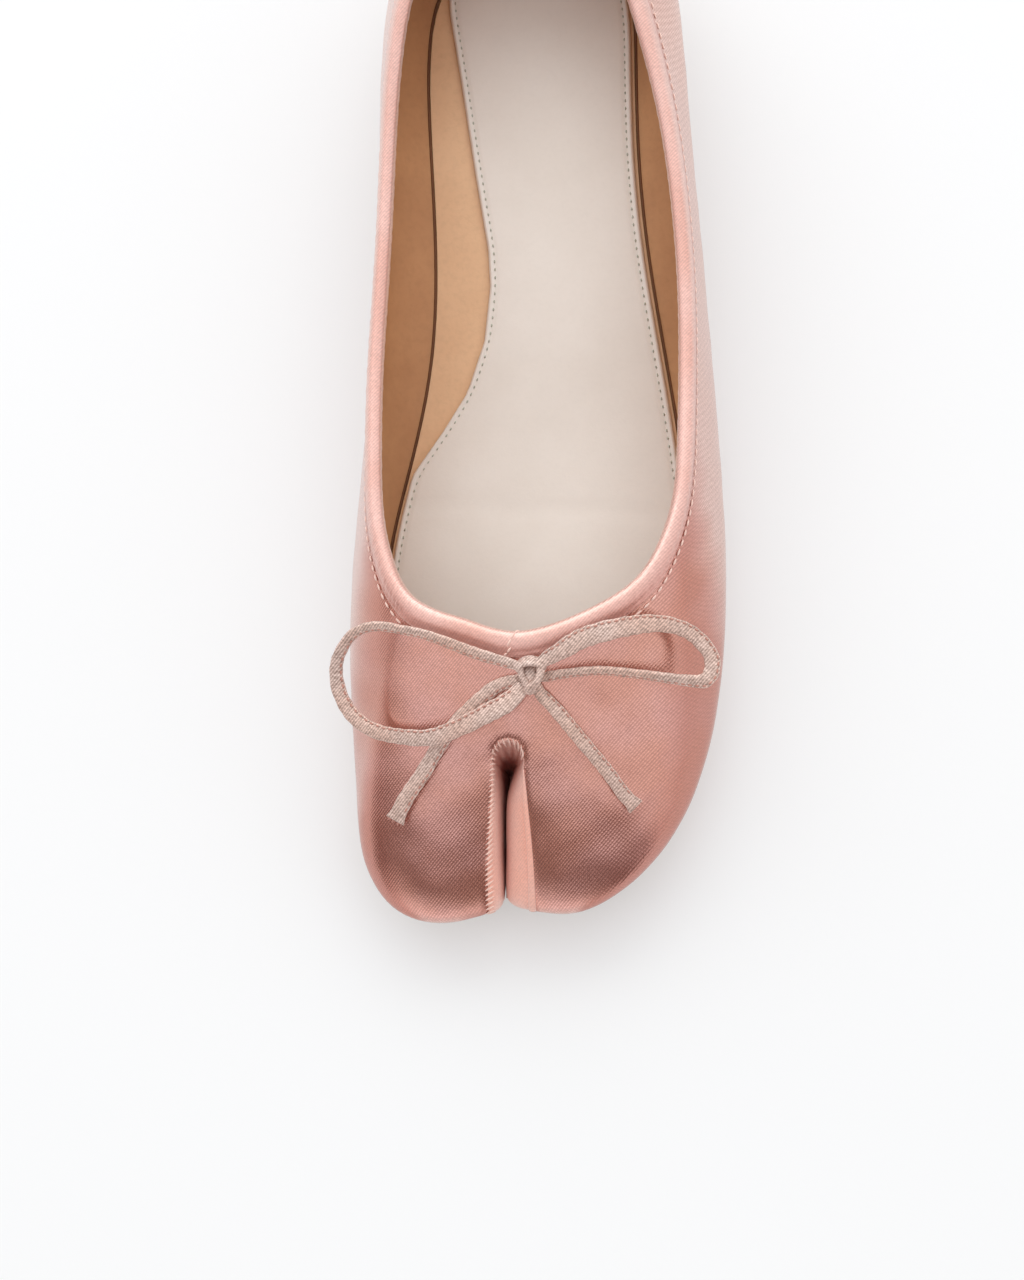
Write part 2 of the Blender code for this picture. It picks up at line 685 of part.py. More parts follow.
def heel_block(outer):
    """The heel block: the back of the outsole's outline with a slightly hollow front."""
    edge = pushed(edge_loop(outer), SOLE_EDGE - 0.0012)
    breast = HEEL_BREAST * SHOE_LENGTH
    back = edge[:len(outer.columns)]
    back = back[back[:, 1] > breast + 0.002]
    left = back[-1]
    right = back[0]
    front = []
    for share in np.linspace(0.0, 1.0, 9):
        hollow = HEEL_FRONT_HOLLOW * np.sin(np.pi * share)
        front.append((left[0] + (right[0] - left[0]) * share, breast + hollow))
    loop = np.concatenate([back, np.array(front)])
    height = HEEL_HEIGHT
    loops = (pushed(loop, -0.0026), pushed(loop, -0.0017), pushed(loop, -0.0006), loop)
    heights = (0.0, 0.0008, height * 0.5, height)
    return stacked_solid(loops, heights, lambda along: 0.0, 0)


def slot_margins(count, columns):
    """Clearance of the insole along a loop: more round the slot, where its corners are tight."""
    margins = np.full(count, INSOLE_CLEARANCE)
    margins[columns:] += 1.5 * GAP
    return margins


def insole(inner):
    low = edge_loop(inner)
    high = level_loop(inner, INSOLE_THICKNESS)
    low = pushed(low, -slot_margins(len(low), len(inner.columns)))
    high = pushed(high, -slot_margins(len(high), len(inner.columns)))
    steps = 120
    loops = (even_loop(low, steps), even_loop(high, steps))
    return stacked_solid(loops, (GAP, GAP + INSOLE_THICKNESS), sole_top)


def even_loop(loop, steps):
    """A closed loop resampled evenly, starting from its place nearest the back of the shoe."""
    start = int(np.argmax(loop[:, 1]))
    loop = np.roll(loop, -start, axis=0)
    closed = np.vstack([loop, loop[:1]])
    lengths = np.concatenate(([0.0], np.cumsum(np.linalg.norm(np.diff(closed, axis=0), axis=1))))
    at = np.linspace(0.0, lengths[-1], steps, endpoint=False)
    return np.stack([np.interp(at, lengths, closed[:, axis]) for axis in range(2)], axis=1)


def rail(loop, along, side):
    """Across place of a loop's outer (side 1) or inner (side -1) edge at a distance from the toe."""
    closed = np.vstack([loop, loop[:1]])
    found = []
    for first, second in zip(closed[:-1], closed[1:]):
        if (first[1] - along) * (second[1] - along) <= 0.0 and first[1] != second[1]:
            share = (along - first[1]) / (second[1] - first[1])
            found.append(first[0] + (second[0] - first[0]) * share)
    return max(found) if side > 0 else min(found)


def sock(inner):
    """The padded sock: the insole's outline from under the vamp back, cut in at the arch."""
    outline = pushed(level_loop(inner, INSOLE_THICKNESS), -(INSOLE_CLEARANCE + SOCK_MARGIN))
    back = outline[:, 1].max()
    front = SOCK_FRONT * SHOE_LENGTH
    cut_along = np.array([row[0] for row in SOCK_CUT_IN]) * SHOE_LENGTH
    cut_across = np.array([row[1] for row in SOCK_CUT_IN]) * BALL_WIDTH
    turn = np.linspace(0.0, np.pi, 36)
    alongs = front + (back - 0.0002 - front) * (1.0 - np.cos(turn)) / 2.0
    outer_side = []
    inner_side = []
    for along in alongs:
        right = rail(outline, along, 1)
        left = rail(outline, along, -1)
        if cut_along[0] < along < cut_along[-1]:
            left = max(left, float(np.interp(along, cut_along, cut_across)))
        share = (along - front) / SOCK_TOE_ROUNDING
        if share < 1.0:
            narrow = np.sqrt(max(0.0, 1.0 - (1.0 - share) ** 2)) * 0.85 + 0.15
            middle = (left + right) / 2.0
            left = middle + (left - middle) * narrow
            right = middle + (right - middle) * narrow
        outer_side.append((right, along))
        inner_side.append((left, along))
    loop = np.array(outer_side + inner_side[::-1])
    low = GAP + INSOLE_THICKNESS + GAP
    loops = (pushed(loop, -0.0002), loop, pushed(loop, -0.0002), pushed(loop, -0.0009))
    heights = (low, low + SOCK_THICKNESS * 0.3, low + SOCK_THICKNESS * 0.7, low + SOCK_THICKNESS)
    return stacked_solid(loops, heights, sole_top)


def binding():
    """The padded tube round the collar, as a closed ring of bulged sections."""
    places = np.concatenate([np.linspace(0.0, LAST.knots[1], 3, endpoint=False), round_places(),
                             np.linspace(LAST.knots[-1], 1.0, 4)[1:-1]])
    centre_up = top_places(places, BINDING_HEIGHT / 2.0)
    centres = LAST.skin(places, centre_up, UPPER_WALL / 2.0)
    normals = LAST.normal(places, centre_up)
    ups = LAST.skin(places, centre_up + 0.01, UPPER_WALL / 2.0) - centres
    ups -= normals * np.sum(ups * normals, axis=1, keepdims=True)
    ups /= np.linalg.norm(ups, axis=1, keepdims=True)
    section = []
    for turn in np.arange(10) * 2.0 * np.pi / 10:
        upward = np.sign(np.sin(turn)) * abs(np.sin(turn)) ** 0.8 * BINDING_HEIGHT / 2.0
        outward = np.sign(np.cos(turn)) * abs(np.cos(turn)) ** 0.8 * BINDING_THICKNESS / 2.0
        section.append((outward, upward))
    points = []
    faces = []
    count = len(section)
    for index in range(len(places)):
        for outward, upward in section:
            points.append(centres[index] + normals[index] * outward + ups[index] * upward)
    for index in range(len(places)):
        after = (index + 1) % len(places)
        for side in range(count):
            beside = (side + 1) % count
            faces.append((index * count + side, after * count + side,
                          after * count + beside, index * count + beside))
    return points, faces


def smooth_line(points, count):
    """Evenly spaced points on a smooth curve through the given ones."""
    points = np.asarray(points)
    padded = np.vstack([2 * points[0] - points[1], points, 2 * points[-1] - points[-2]])
    dense = []
    for index in range(len(points) - 1):
        a, b, c, d = padded[index:index + 4]
        for share in np.linspace(0.0, 1.0, 12, endpoint=False):
            dense.append(0.5 * (2 * b + (c - a) * share + (2 * a - 5 * b + 4 * c - d) * share ** 2
                                + (3 * b - a - 3 * c + d) * share ** 3))
    dense.append(points[-1])
    dense = np.array(dense)
    lengths = np.concatenate(([0.0], np.cumsum(np.linalg.norm(np.diff(dense, axis=0), axis=1))))
    at = np.linspace(0.0, lengths[-1], count)
    return np.stack([np.interp(at, lengths, dense[:, axis]) for axis in range(3)], axis=1)


def ribbon_route(rows, surface):
    """Route of a ribbon piece from its table, never lower than just above the upper."""
    knot_across = KNOT_PLACE[0] * BALL_WIDTH
    knot_along = KNOT_PLACE[1] * SHOE_LENGTH
    table = [(knot_across + across * BALL_WIDTH, knot_along - along * SHOE_LENGTH, height * THROAT_HEIGHT)
             for across, along, height in rows]
    route = smooth_line(table, 4 * len(table))
    reach = RIBBON_WIDTH * 0.35
    for place in route:
        under = max(surface(place[0] + side, place[1] + front)
                    for side in (-reach, 0.0, reach) for front in (-reach, 0.0, reach))
        place[2] = max(place[2], under + RIBBON_THICKNESS / 2.0 + GAP)
    return route


def ribbon_tube(route, count):
    """A flat tube along a route: wide across it and thin upwards, with closed ends."""
    line = smooth_line(route, count)
    ahead = np.gradient(line, axis=0)
    ahead /= np.linalg.norm(ahead, axis=1, keepdims=True)
    side = np.cross(np.array([0.0, 0.0, 1.0]), ahead)
    side /= np.linalg.norm(side, axis=1, keepdims=True)
    up = np.cross(ahead, side)
    sides = 8
    points = []
    faces = []
    for index in range(count):
        for turn in np.arange(sides) * 2.0 * np.pi / sides:
            wide = np.sign(np.cos(turn)) * abs(np.cos(turn)) ** 0.7 * RIBBON_WIDTH / 2.0
            thick = np.sin(turn) * RIBBON_THICKNESS / 2.0
            points.append(line[index] + side[index] * wide + up[index] * thick)
    for index in range(count - 1):
        for turn in range(sides):
            beside = (turn + 1) % sides
            faces.append((index * sides + turn, (index + 1) * sides + turn,
                          (index + 1) * sides + beside, index * sides + beside))
    faces.append(tuple(range(sides)))
    faces.append(tuple((count - 1) * sides + turn for turn in reversed(range(sides))))
    return points, faces


def knot_mesh(surface):
    """The knot: a plump wrapped lump with a waist where the ribbon crosses."""
    x = KNOT_PLACE[0] * BALL_WIDTH
    y = KNOT_PLACE[1] * SHOE_LENGTH
    z = surface(x, y) + KNOT_SIZE[2] / 2.0 + GAP
    points = []
    faces = []
    rows = 9
    turns = 14
    for row in range(1, rows):
        polar = np.pi * row / rows
        for turn in np.arange(turns) * 2.0 * np.pi / turns:
            ring = np.sin(polar) ** 0.75
            waist = 1.0 - 0.12 * np.exp(-(np.cos(polar) / 0.3) ** 2)
            flat = np.sign(np.sin(turn)) * abs(np.sin(turn)) ** 0.85
            wide = np.sign(np.cos(turn)) * abs(np.cos(turn)) ** 0.85
            points.append((x + wide * ring * waist * KNOT_SIZE[0] / 2.0,
                           y - np.cos(polar) * KNOT_SIZE[1] / 2.0,
                           z + flat * ring * KNOT_SIZE[2] / 2.0))
    first = len(points)
    points.append((x, y - KNOT_SIZE[1] / 2.0, z))
    points.append((x, y + KNOT_SIZE[1] / 2.0, z))
    for row in range(rows - 2):
        for turn in range(turns):
            beside = (turn + 1) % turns
            faces.append((row * turns + turn, row * turns + beside,
                          (row + 1) * turns + beside, (row + 1) * turns + turn))
    for turn in range(turns):
        beside = (turn + 1) % turns
        faces.append((first, beside, turn))
        base = (rows - 2) * turns
        faces.append((first + 1, base + turn, base + beside))
    return points, faces


def finish(name):
    """The material of that name."""
    colour, roughness = FINISHES[name]
    material = bpy.data.materials.new(name)
    material.use_nodes = True
    shader = material.node_tree.nodes["Principled BSDF"]
    shader.inputs["Base Color"].default_value = (*colour, 1.0)
    shader.inputs["Roughness"].default_value = roughness
    shader.inputs["Metallic"].default_value = 0.0
    material.diffuse_color = (*colour, 1.0)
    return material


def add_piece(name, mesh_parts, finish_name, shift):
    """One named object from points and faces, moved so that the shoe stands over the origin."""
    points, faces = mesh_parts
    mesh = bpy.data.meshes.new(name)
    mesh.from_pydata([tuple(Vector(point) + shift) for point in points], [], faces)
    body = bmesh.new()
    body.from_mesh(mesh)
    bmesh.ops.remove_doubles(body, verts=list(body.verts), dist=2e-5)
    bmesh.ops.dissolve_degenerate(body, dist=1e-6, edges=list(body.edges))
    bmesh.ops.triangulate(body, faces=list(body.faces))
    bmesh.ops.recalc_face_normals(body, faces=list(body.faces))
    body.to_mesh(mesh)
    body.free()
    thing = bpy.data.objects.new(name, mesh)
    mesh.materials.append(MATERIALS[finish_name])
    bpy.context.scene.collection.objects.link(thing)
    return thing


def height_over(meshes):
    """A function that gives the height of the topmost surface over a place in plan."""
    trees = []
    for points, faces in meshes:
        trees.append(BVHTree.FromPolygons([Vector(point) for point in points], faces))

    def surface(x, y):
        found = []
        for tree in trees:
            place, _, _, _ = tree.ray_cast(Vector((x, y, 0.2)), Vector((0.0, 0.0, -1.0)))
            if place is not None:
                found.append(place.z)
        return max(found) if found else 0.0

    return surface


for thing in list(bpy.data.objects):
    bpy.data.objects.remove(thing, do_unlink=True)

MATERIALS = {name: finish(name) for name in FINISHES}

shell_points, shell_faces, outer_skin, inner_skin = shell_mesh()
binding_parts = binding()
SHIFT = Vector((-MIDDLE[0], -MIDDLE[1], 0.0))

surface_height = height_over([(shell_points, shell_faces), binding_parts])

add_piece("upper", (shell_points, shell_faces), "pink_satin", SHIFT)
add_piece("topline_binding", binding_parts, "pink_binding", SHIFT)
add_piece("outsole", outsole(outer_skin), "sole_leather", SHIFT)
add_piece("heel", heel_block(outer_skin), "heel_leather", SHIFT)
add_piece("insole", insole(inner_skin), "tan_leather", SHIFT)
add_piece("sock", sock(inner_skin), "cream_leather", SHIFT)
add_piece("bow_knot", knot_mesh(surface_height), "pink_ribbon", SHIFT)
BOW_PIECES = (
    ("bow_loop_medial", BOW_LOOP_MEDIAL, 34),
    ("bow_loop_lateral", BOW_LOOP_LATERAL, 30),
    ("bow_tail_medial", BOW_TAIL_MEDIAL, 14),
    ("bow_tail_lateral", BOW_TAIL_LATERAL, 12),
)
for piece_name, table, steps in BOW_PIECES:
    add_piece(piece_name, ribbon_tube(ribbon_route(table, surface_height), steps), "pink_ribbon", SHIFT)
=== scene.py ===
"""Looks of the tabi ballet flat: satin, lining, stitches, ribbon bow, leathers, floor and light."""

import bpy
import numpy as np
from mathutils import Matrix, Vector
from mathutils.bvhtree import BVHTree


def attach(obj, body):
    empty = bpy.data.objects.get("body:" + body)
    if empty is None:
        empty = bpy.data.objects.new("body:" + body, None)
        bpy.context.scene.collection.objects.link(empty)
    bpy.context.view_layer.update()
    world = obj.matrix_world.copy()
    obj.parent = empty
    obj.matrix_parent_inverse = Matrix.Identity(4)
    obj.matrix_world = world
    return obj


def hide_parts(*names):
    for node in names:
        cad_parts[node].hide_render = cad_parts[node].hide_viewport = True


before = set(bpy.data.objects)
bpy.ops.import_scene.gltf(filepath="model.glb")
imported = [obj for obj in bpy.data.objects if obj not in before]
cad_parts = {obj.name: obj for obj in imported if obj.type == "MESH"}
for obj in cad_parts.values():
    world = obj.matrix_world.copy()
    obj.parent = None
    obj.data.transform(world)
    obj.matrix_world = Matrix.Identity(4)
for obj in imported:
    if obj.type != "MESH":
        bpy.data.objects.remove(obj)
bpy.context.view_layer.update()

# Driving dimensions
SHOE_LENGTH = 0.248
BALL_WIDTH = 0.0876
THROAT_HEIGHT = 0.041

# Sizes that are set by themselves
GAP = 0.0003
UPPER_WALL = 0.0022
BINDING_HEIGHT = 0.0055
BINDING_THICKNESS = 0.0034
SOLE_THICKNESS = 0.0032
HEEL_HEIGHT = 0.008
TOE_SPRING = 0.0055
INSOLE_THICKNESS = 0.002
INSOLE_CLEARANCE = 0.0006
SOCK_THICKNESS = 0.0016
SOCK_MARGIN = 0.0008
SOCK_TOE_ROUNDING = 0.014
SLIT_HALF_WIDTH = 0.005
SLIT_ARCH_HALF_WIDTH = 0.0035
SLIT_NARROWS_FROM = 0.008
SLIT_LENGTH = 0.0376
SLIT_FOLD_GAP = 0.00001
ARCH_BAND = 0.0086
STRIP_MOUTH = 0.0006
STRIP_END = 0.0005
SLIT_LEAN = 0.0022
LIP_ROUNDING = 0.0004
LIP_ROUNDING_REACH = 0.002
LOBE_DIP = 0.0011
LOBE_DIP_REACH = 0.007
DIP_ENDS_PAST_ARCH = 0.005
DIP_FADE = 0.030
RIBBON_WIDTH = 0.0034
RIBBON_THICKNESS = 0.0019
KNOT_SIZE = (0.0062, 0.0076, 0.0056)
TUCK = 0.5

# Steps of the meshes
UPPER_ROWS_AT_SLIT = 56
ROW_CROWDING = 1.12
UPPER_ROWS_PAST_ARCH = 8
UPPER_ROWS_ABOVE_SLIT = 12
COLUMN_SPACING = 0.0018
GUSSET_STEPS = 18
BAND_COLUMNS = 20
LIP_COLUMNS = (0.0, 0.0003, 0.0006, 0.001, 0.0015, 0.002)
COLUMNS_PAST_LIP = 4
NEAR_COLUMNS = 121
NEAR_REACH = 0.075

# The last, as ribs that run from the widest line up to the collar. Columns: name, place of the
# widest line and place of the collar, each as a share of BALL_WIDTH across and of SHOE_LENGTH
# along from the toe. The first rib is the middle of the slit, and they go round by the outer side.
RIBS = (
    ("slit", -0.064, 0.006, -0.041, 0.255),
    ("outer_toe", 0.087, 0.007, 0.066, 0.260),
    ("outer_toe_round", 0.226, 0.029, 0.160, 0.273),
    ("outer_toe_corner", 0.356, 0.077, 0.257, 0.292),
    ("outer_toe_side", 0.450, 0.151, 0.334, 0.321),
    ("outer_ball_front", 0.495, 0.234, 0.390, 0.367),
    ("outer_ball", 0.508, 0.339, 0.418, 0.431),
    ("outer_ball_back", 0.498, 0.427, 0.425, 0.500),
    ("outer_waist_front", 0.477, 0.536, 0.426, 0.573),
    ("outer_waist", 0.454, 0.645, 0.413, 0.649),
    ("outer_heel_front", 0.432, 0.742, 0.380, 0.734),
    ("outer_heel", 0.413, 0.835, 0.322, 0.815),
    ("outer_heel_round", 0.354, 0.927, 0.252, 0.885),
    ("outer_back", 0.200, 0.983, 0.146, 0.940),
    ("back", 0.009, 1.000, -0.009, 0.962),
    ("inner_back", -0.183, 0.983, -0.164, 0.940),
    ("inner_heel_round", -0.337, 0.927, -0.272, 0.885),
    ("inner_heel", -0.397, 0.835, -0.333, 0.815),
    ("inner_heel_front", -0.406, 0.742, -0.361, 0.734),
    ("inner_waist", -0.410, 0.645, -0.377, 0.649),
    ("inner_waist_front", -0.422, 0.548, -0.392, 0.573),
    ("inner_ball_back", -0.452, 0.452, -0.402, 0.500),
    ("inner_ball", -0.478, 0.371, -0.401, 0.431),
    ("inner_ball_front", -0.492, 0.290, -0.390, 0.371),
    ("inner_toe_side", -0.490, 0.210, -0.356, 0.325),
    ("inner_toe_edge", -0.475, 0.125, -0.315, 0.298),
    ("inner_toe_corner", -0.445, 0.052, -0.263, 0.282),
    ("inner_toe_round", -0.361, 0.012, -0.205, 0.273),
    ("inner_toe", -0.215, 0.000, -0.144, 0.266),
)

# Heights and tucks along the shoe. Columns: share of SHOE_LENGTH from the toe, collar height and
# height of the widest line as shares of THROAT_HEIGHT, tuck-in down to the sole on the outer and
# on the inner side as shares of BALL_WIDTH, and straightness of the rib from 0, domed, to 1.
HEIGHTS = (
    (0.00, 1.00, 0.37, 0.042, 0.042, 0.62),
    (0.12, 1.00, 0.35, 0.050, 0.045, 0.64),
    (0.26, 1.00, 0.37, 0.062, 0.052, 0.68),
    (0.38, 0.96, 0.40, 0.080, 0.066, 0.78),
    (0.50, 0.95, 0.46, 0.100, 0.112, 0.84),
    (0.60, 0.97, 0.54, 0.132, 0.130, 0.84),
    (0.72, 1.03, 0.62, 0.140, 0.112, 0.84),
    (0.84, 1.16, 0.66, 0.122, 0.090, 0.82),
    (0.94, 1.33, 0.66, 0.096, 0.084, 0.80),
    (1.00, 1.40, 0.66, 0.084, 0.084, 0.80),
)

# Underside of the sole along the shoe, as shares of SHOE_LENGTH from the toe
FLAT_FRONT = 0.17
FLAT_BACK = 0.38
HEEL_SEAT_FRONT = 0.74

# Front of the sock, as a share of SHOE_LENGTH from the toe
SOCK_FRONT = 0.20
# Inner edge of the sock. Columns: share of SHOE_LENGTH from the toe, share of BALL_WIDTH across
SOCK_CUT_IN = (
    (0.395, -0.405),
    (0.438, -0.330),
    (0.473, -0.258),
    (0.510, -0.190),
    (0.558, -0.142),
    (0.609, -0.124),
    (0.645, -0.128),
    (0.727, -0.165),
    (0.814, -0.202),
    (0.880, -0.232),
    (0.935, -0.240),
)

# The bow. Columns: share of BALL_WIDTH across from the knot, share of SHOE_LENGTH along from
# the knot towards the toe, and height as a share of THROAT_HEIGHT. A ribbon that would be lower
# than the upper lies on it.
KNOT_PLACE = (0.018, 0.2145)
BOW_LOOP_MEDIAL = (
    (-0.040, -0.008, 1.06),
    (-0.135, -0.018, 1.09),
    (-0.251, -0.034, 1.10),
    (-0.323, -0.041, 1.08),
    (-0.398, -0.046, 1.045),
    (-0.459, -0.041, 0.99),
    (-0.498, -0.025, 0.93),
    (-0.511, -0.009, 0.88),
    (-0.502, 0.011, 0.84),
    (-0.468, 0.031, 0.825),
    (-0.410, 0.045, 0.84),
    (-0.334, 0.052, 0.89),
    (-0.259, 0.054, 0.94),
    (-0.184, 0.046, 0.975),
    (-0.110, 0.034, 1.00),
    (-0.066, 0.026, 1.00),
    (-0.036, 0.017, 1.00),
)
BOW_LOOP_LATERAL = (
    (0.040, -0.012, 1.06),
    (0.080, -0.019, 1.085),
    (0.146, -0.031, 1.10),
    (0.253, -0.041, 1.07),
    (0.336, -0.044, 1.02),
    (0.405, -0.038, 0.95),
    (0.452, -0.022, 0.89),
    (0.461, -0.008, 0.87),
    (0.442, 0.004, 0.87),
    (0.388, 0.004, 0.89),
    (0.285, 0.000, 0.95),
    (0.179, -0.003, 1.00),
    (0.085, -0.001, 0.99),
    (0.040, 0.001, 0.97),
)
BOW_TAIL_MEDIAL = (
    (-0.038, 0.004, 0.5),
    (-0.078, 0.007, 0.5),
    (-0.113, 0.014, 0.5),
    (-0.189, 0.037, 0.5),
    (-0.241, 0.058, 0.5),
    (-0.288, 0.083, 0.5),
    (-0.334, 0.104, 0.5),
    (-0.368, 0.124, 0.5),
)
BOW_TAIL_LATERAL = (
    (0.022, 0.0155, 0.5),
    (0.061, 0.030, 0.5),
    (0.122, 0.056, 0.5),
    (0.183, 0.082, 0.5),
    (0.224, 0.102, 0.5),
    (0.256, 0.114, 0.5),
)

UPRIGHT = np.array([0.0, 0.0, 1.0])
FULL_TURN = 2.0 * np.pi

# Steps round the last, and round and up it, over which its directions are measured
SIDE_STEP = 1e-4
NORMAL_STEPS = (1e-3, 4e-3)
# How late the last turns in below its widest line, and how far below it is followed
TUCK_BEND = 2.2
UNDER_REACH = 1.9


def unit(vectors):
    """Rows of vectors made one long."""
    return vectors / np.linalg.norm(vectors, axis=-1, keepdims=True)


def lengths_along(line):
    """Distance of each point of a line from its start."""
    steps = np.linalg.norm(np.diff(line, axis=0), axis=1)
    return np.concatenate(([0.0], np.cumsum(steps)))


def between(at, lengths, line):
    """Points of a line at the given lengths."""
    return np.stack([np.interp(at, lengths, line[:, axis]) for axis in range(line.shape[1])], axis=-1)


def resampled(line, at):
    """Points of a line at distances along it."""
    return between(at, lengths_along(line), line)


def grid_faces(numbers):
    """Four-sided faces between the vertices of a grid, from their numbers."""
    corners = (numbers[:-1, :-1], numbers[1:, :-1], numbers[1:, 1:], numbers[:-1, 1:])
    return list(zip(*(corner.ravel().tolist() for corner in corners)))


def tube_faces(first, rings, sides, closed=False, inside_out=False):
    """Faces of a tube from the number of its first vertex, with its two ends if it isn't closed."""
    numbers = (first + np.arange(rings * sides)).reshape(rings, sides)
    ends = [] if closed else [tuple(numbers[0].tolist()), tuple(numbers[-1, ::-1].tolist())]
    numbers = np.column_stack([numbers, numbers[:, 0]])
    if closed:
        numbers = np.vstack([numbers, numbers[:1]])
    faces = grid_faces(numbers)
    if inside_out:
        return [(a, d, c, b) for a, b, c, d in faces] + [face[::-1] for face in ends]
    return faces + ends


def periodic_curve(knots, values):
    """Closed cubic curve through the values at knots that cover 0..1, as a function of 0..1."""
    knots = np.asarray(knots)
    values = np.asarray(values)
    count = len(knots)
    spans = np.diff(np.append(knots, 1.0))
    system = np.zeros((count, count))
    right = np.zeros(count)
    for here in range(count):
        before = (here - 1) % count
        after = (here + 1) % count
        system[here, before] += spans[before]
        system[here, here] += 2.0 * (spans[before] + spans[here])
        system[here, after] += spans[here]
        rise_after = (values[after] - values[here]) / spans[here]
        rise_before = (values[here] - values[before]) / spans[before]
        right[here] = 6.0 * (rise_after - rise_before)
    bends = np.linalg.solve(system, right)

    def curve(place):
        place = np.mod(place, 1.0)
        index = np.searchsorted(knots, place, side="right") - 1
        after = (index + 1) % count
        span = spans[index]
        b = (place - knots[index]) / span
        a = 1.0 - b
        bent = ((a ** 3 - a) * bends[index] + (b ** 3 - b) * bends[after]) * span ** 2 / 6.0
        return a * values[index] + b * values[after] + bent

    return curve


def smooth_step(value):
    value = np.clip(value, 0.0, 1.0)
    return value * value * (3.0 - 2.0 * value)


def hump(away, height, reach):
    """A smooth hump, highest where away is 0."""
    return height * np.exp(-(away / reach) ** 2)


def crowded_ends(count):
    """Shares from 0 to 1 that lie closer together near both ends."""
    return (1.0 - np.cos(np.linspace(0.0, np.pi, count))) / 2.0


def unsteady(run, size, length, drifts):
    """A wave along a run, with a pace that drifts."""
    return size * np.sin(run * FULL_TURN / length + sum(much * np.sin(run * pace) for much, pace in drifts))


def sole_under(along):
    """Height of the outsole's underside, at a distance from the toe."""
    share = np.asarray(along) / SHOE_LENGTH
    front = np.clip((FLAT_FRONT - share) / FLAT_FRONT, 0.0, None)
    back = smooth_step((share - FLAT_BACK) / (HEEL_SEAT_FRONT - FLAT_BACK))
    return TOE_SPRING * front ** 2 + (HEEL_HEIGHT + GAP) * back


def sole_top(along):
    return sole_under(along) + SOLE_THICKNESS


def feather_height(along):
    """Height at which the upper ends, just above the outsole."""
    return sole_top(along) + GAP


class Last:
    """The smooth outer surface of the shoe, as a function of a place round it and up it.

    round_place goes 0..1 from the slit by the outer side; up_place is -1 at the feather line,
    0 at the widest line and 1 at the top of the collar.
    """

    def __init__(self):
        ribs = np.array([rib[1:] for rib in RIBS]) * (BALL_WIDTH, SHOE_LENGTH, BALL_WIDTH, SHOE_LENGTH)
        across, along, top_across, top_along = ribs.T
        steps = np.hypot(np.diff(np.append(across, across[0])), np.diff(np.append(along, along[0])))
        self.knots = np.concatenate(([0.0], np.cumsum(steps)[:-1])) / steps.sum()
        self.girth = steps.sum()
        stations = np.array([row[0] for row in HEIGHTS]) * SHOE_LENGTH

        def by_length(column, at, whole):
            return np.interp(at, stations, [row[column] * whole for row in HEIGHTS])

        outer_side = smooth_step(across / BALL_WIDTH * 2.0 + 0.5)
        tuck_outer = by_length(3, along, BALL_WIDTH)
        tuck_inner = by_length(4, along, BALL_WIDTH)
        columns = {
            "across": across,
            "along": along,
            "top_across": top_across,
            "top_along": top_along,
            "top_height": by_length(1, top_along, THROAT_HEIGHT),
            "wide_height": by_length(2, along, THROAT_HEIGHT),
            "tuck": tuck_inner + (tuck_outer - tuck_inner) * outer_side,
            "straightness": by_length(5, along, 1.0),
        }
        self.curves = {name: periodic_curve(self.knots, values) for name, values in columns.items()}

    def base(self, round_place, up_place):
        """Points of the outer surface, before the lobes are rounded towards the slit."""
        round_place, up_place = np.broadcast_arrays(round_place, up_place)
        got = {name: curve(round_place) for name, curve in self.curves.items()}
        ahead, beside = [curve(round_place + SIDE_STEP) - curve(round_place - SIDE_STEP)
                         for curve in (self.curves["across"], self.curves["along"])]
        size = np.hypot(ahead, beside)
        inward_across = -beside / size
        inward_along = ahead / size

        under = np.clip(-up_place, 0.0, None)
        tucked = got["tuck"] * under ** TUCK_BEND
        low = feather_height(got["along"] + inward_along * got["tuck"])
        low_across = got["across"] + inward_across * tucked
        low_along = got["along"] + inward_along * tucked
        low_height = got["wide_height"] - (got["wide_height"] - low) * under

        angle = np.clip(up_place, 0.0, None) * np.pi / 2.0
        run = 1.0 - np.cos(angle)
        rise = (1.0 - got["straightness"]) * np.sin(angle) + got["straightness"] * run
        high_across = got["across"] + (got["top_across"] - got["across"]) * run
        high_along = got["along"] + (got["top_along"] - got["along"]) * run
        high_height = got["wide_height"] + (got["top_height"] - got["wide_height"]) * rise

        below = up_place < 0.0
        return np.stack([
            np.where(below, low_across, high_across),
            np.where(below, low_along, high_along),
            np.where(below, low_height, high_height),
        ], axis=-1)

    def normal(self, round_place, up_place):
        around, over = NORMAL_STEPS
        sideways = self.base(round_place + around, up_place) - self.base(round_place - around, up_place)
        upward = self.base(round_place, up_place + over) - self.base(round_place, up_place - over)
        return unit(np.cross(sideways, upward))

    def skin(self, round_place, up_place, depth):
        """Points at a depth under the outer surface, with the lobes rounded towards the slit."""
        points = self.base(round_place, up_place)
        return points - self.normal(round_place, up_place) * (depth + lip_sink(points))[..., None]

    def middle(self, along):
        """Across place of the slit's middle line."""
        _, across, front, top_across, back = RIBS[0]
        share = (along - front * SHOE_LENGTH) / ((back - front) * SHOE_LENGTH)
        return (across + (top_across - across) * share) * BALL_WIDTH


LAST = Last()
GIRTH = np.linspace(0.0, 1.0, 2001)
MIDDLE = [(LAST.curves[name](GIRTH).min() + LAST.curves[name](GIRTH).max()) / 2.0
          for name in ("across", "along")]
ARCH_PLACE = RIBS[0][2] * SHOE_LENGTH + SLIT_LENGTH - SLIT_ARCH_HALF_WIDTH
SHIFT = Vector((-MIDDLE[0], -MIDDLE[1], 0.0))


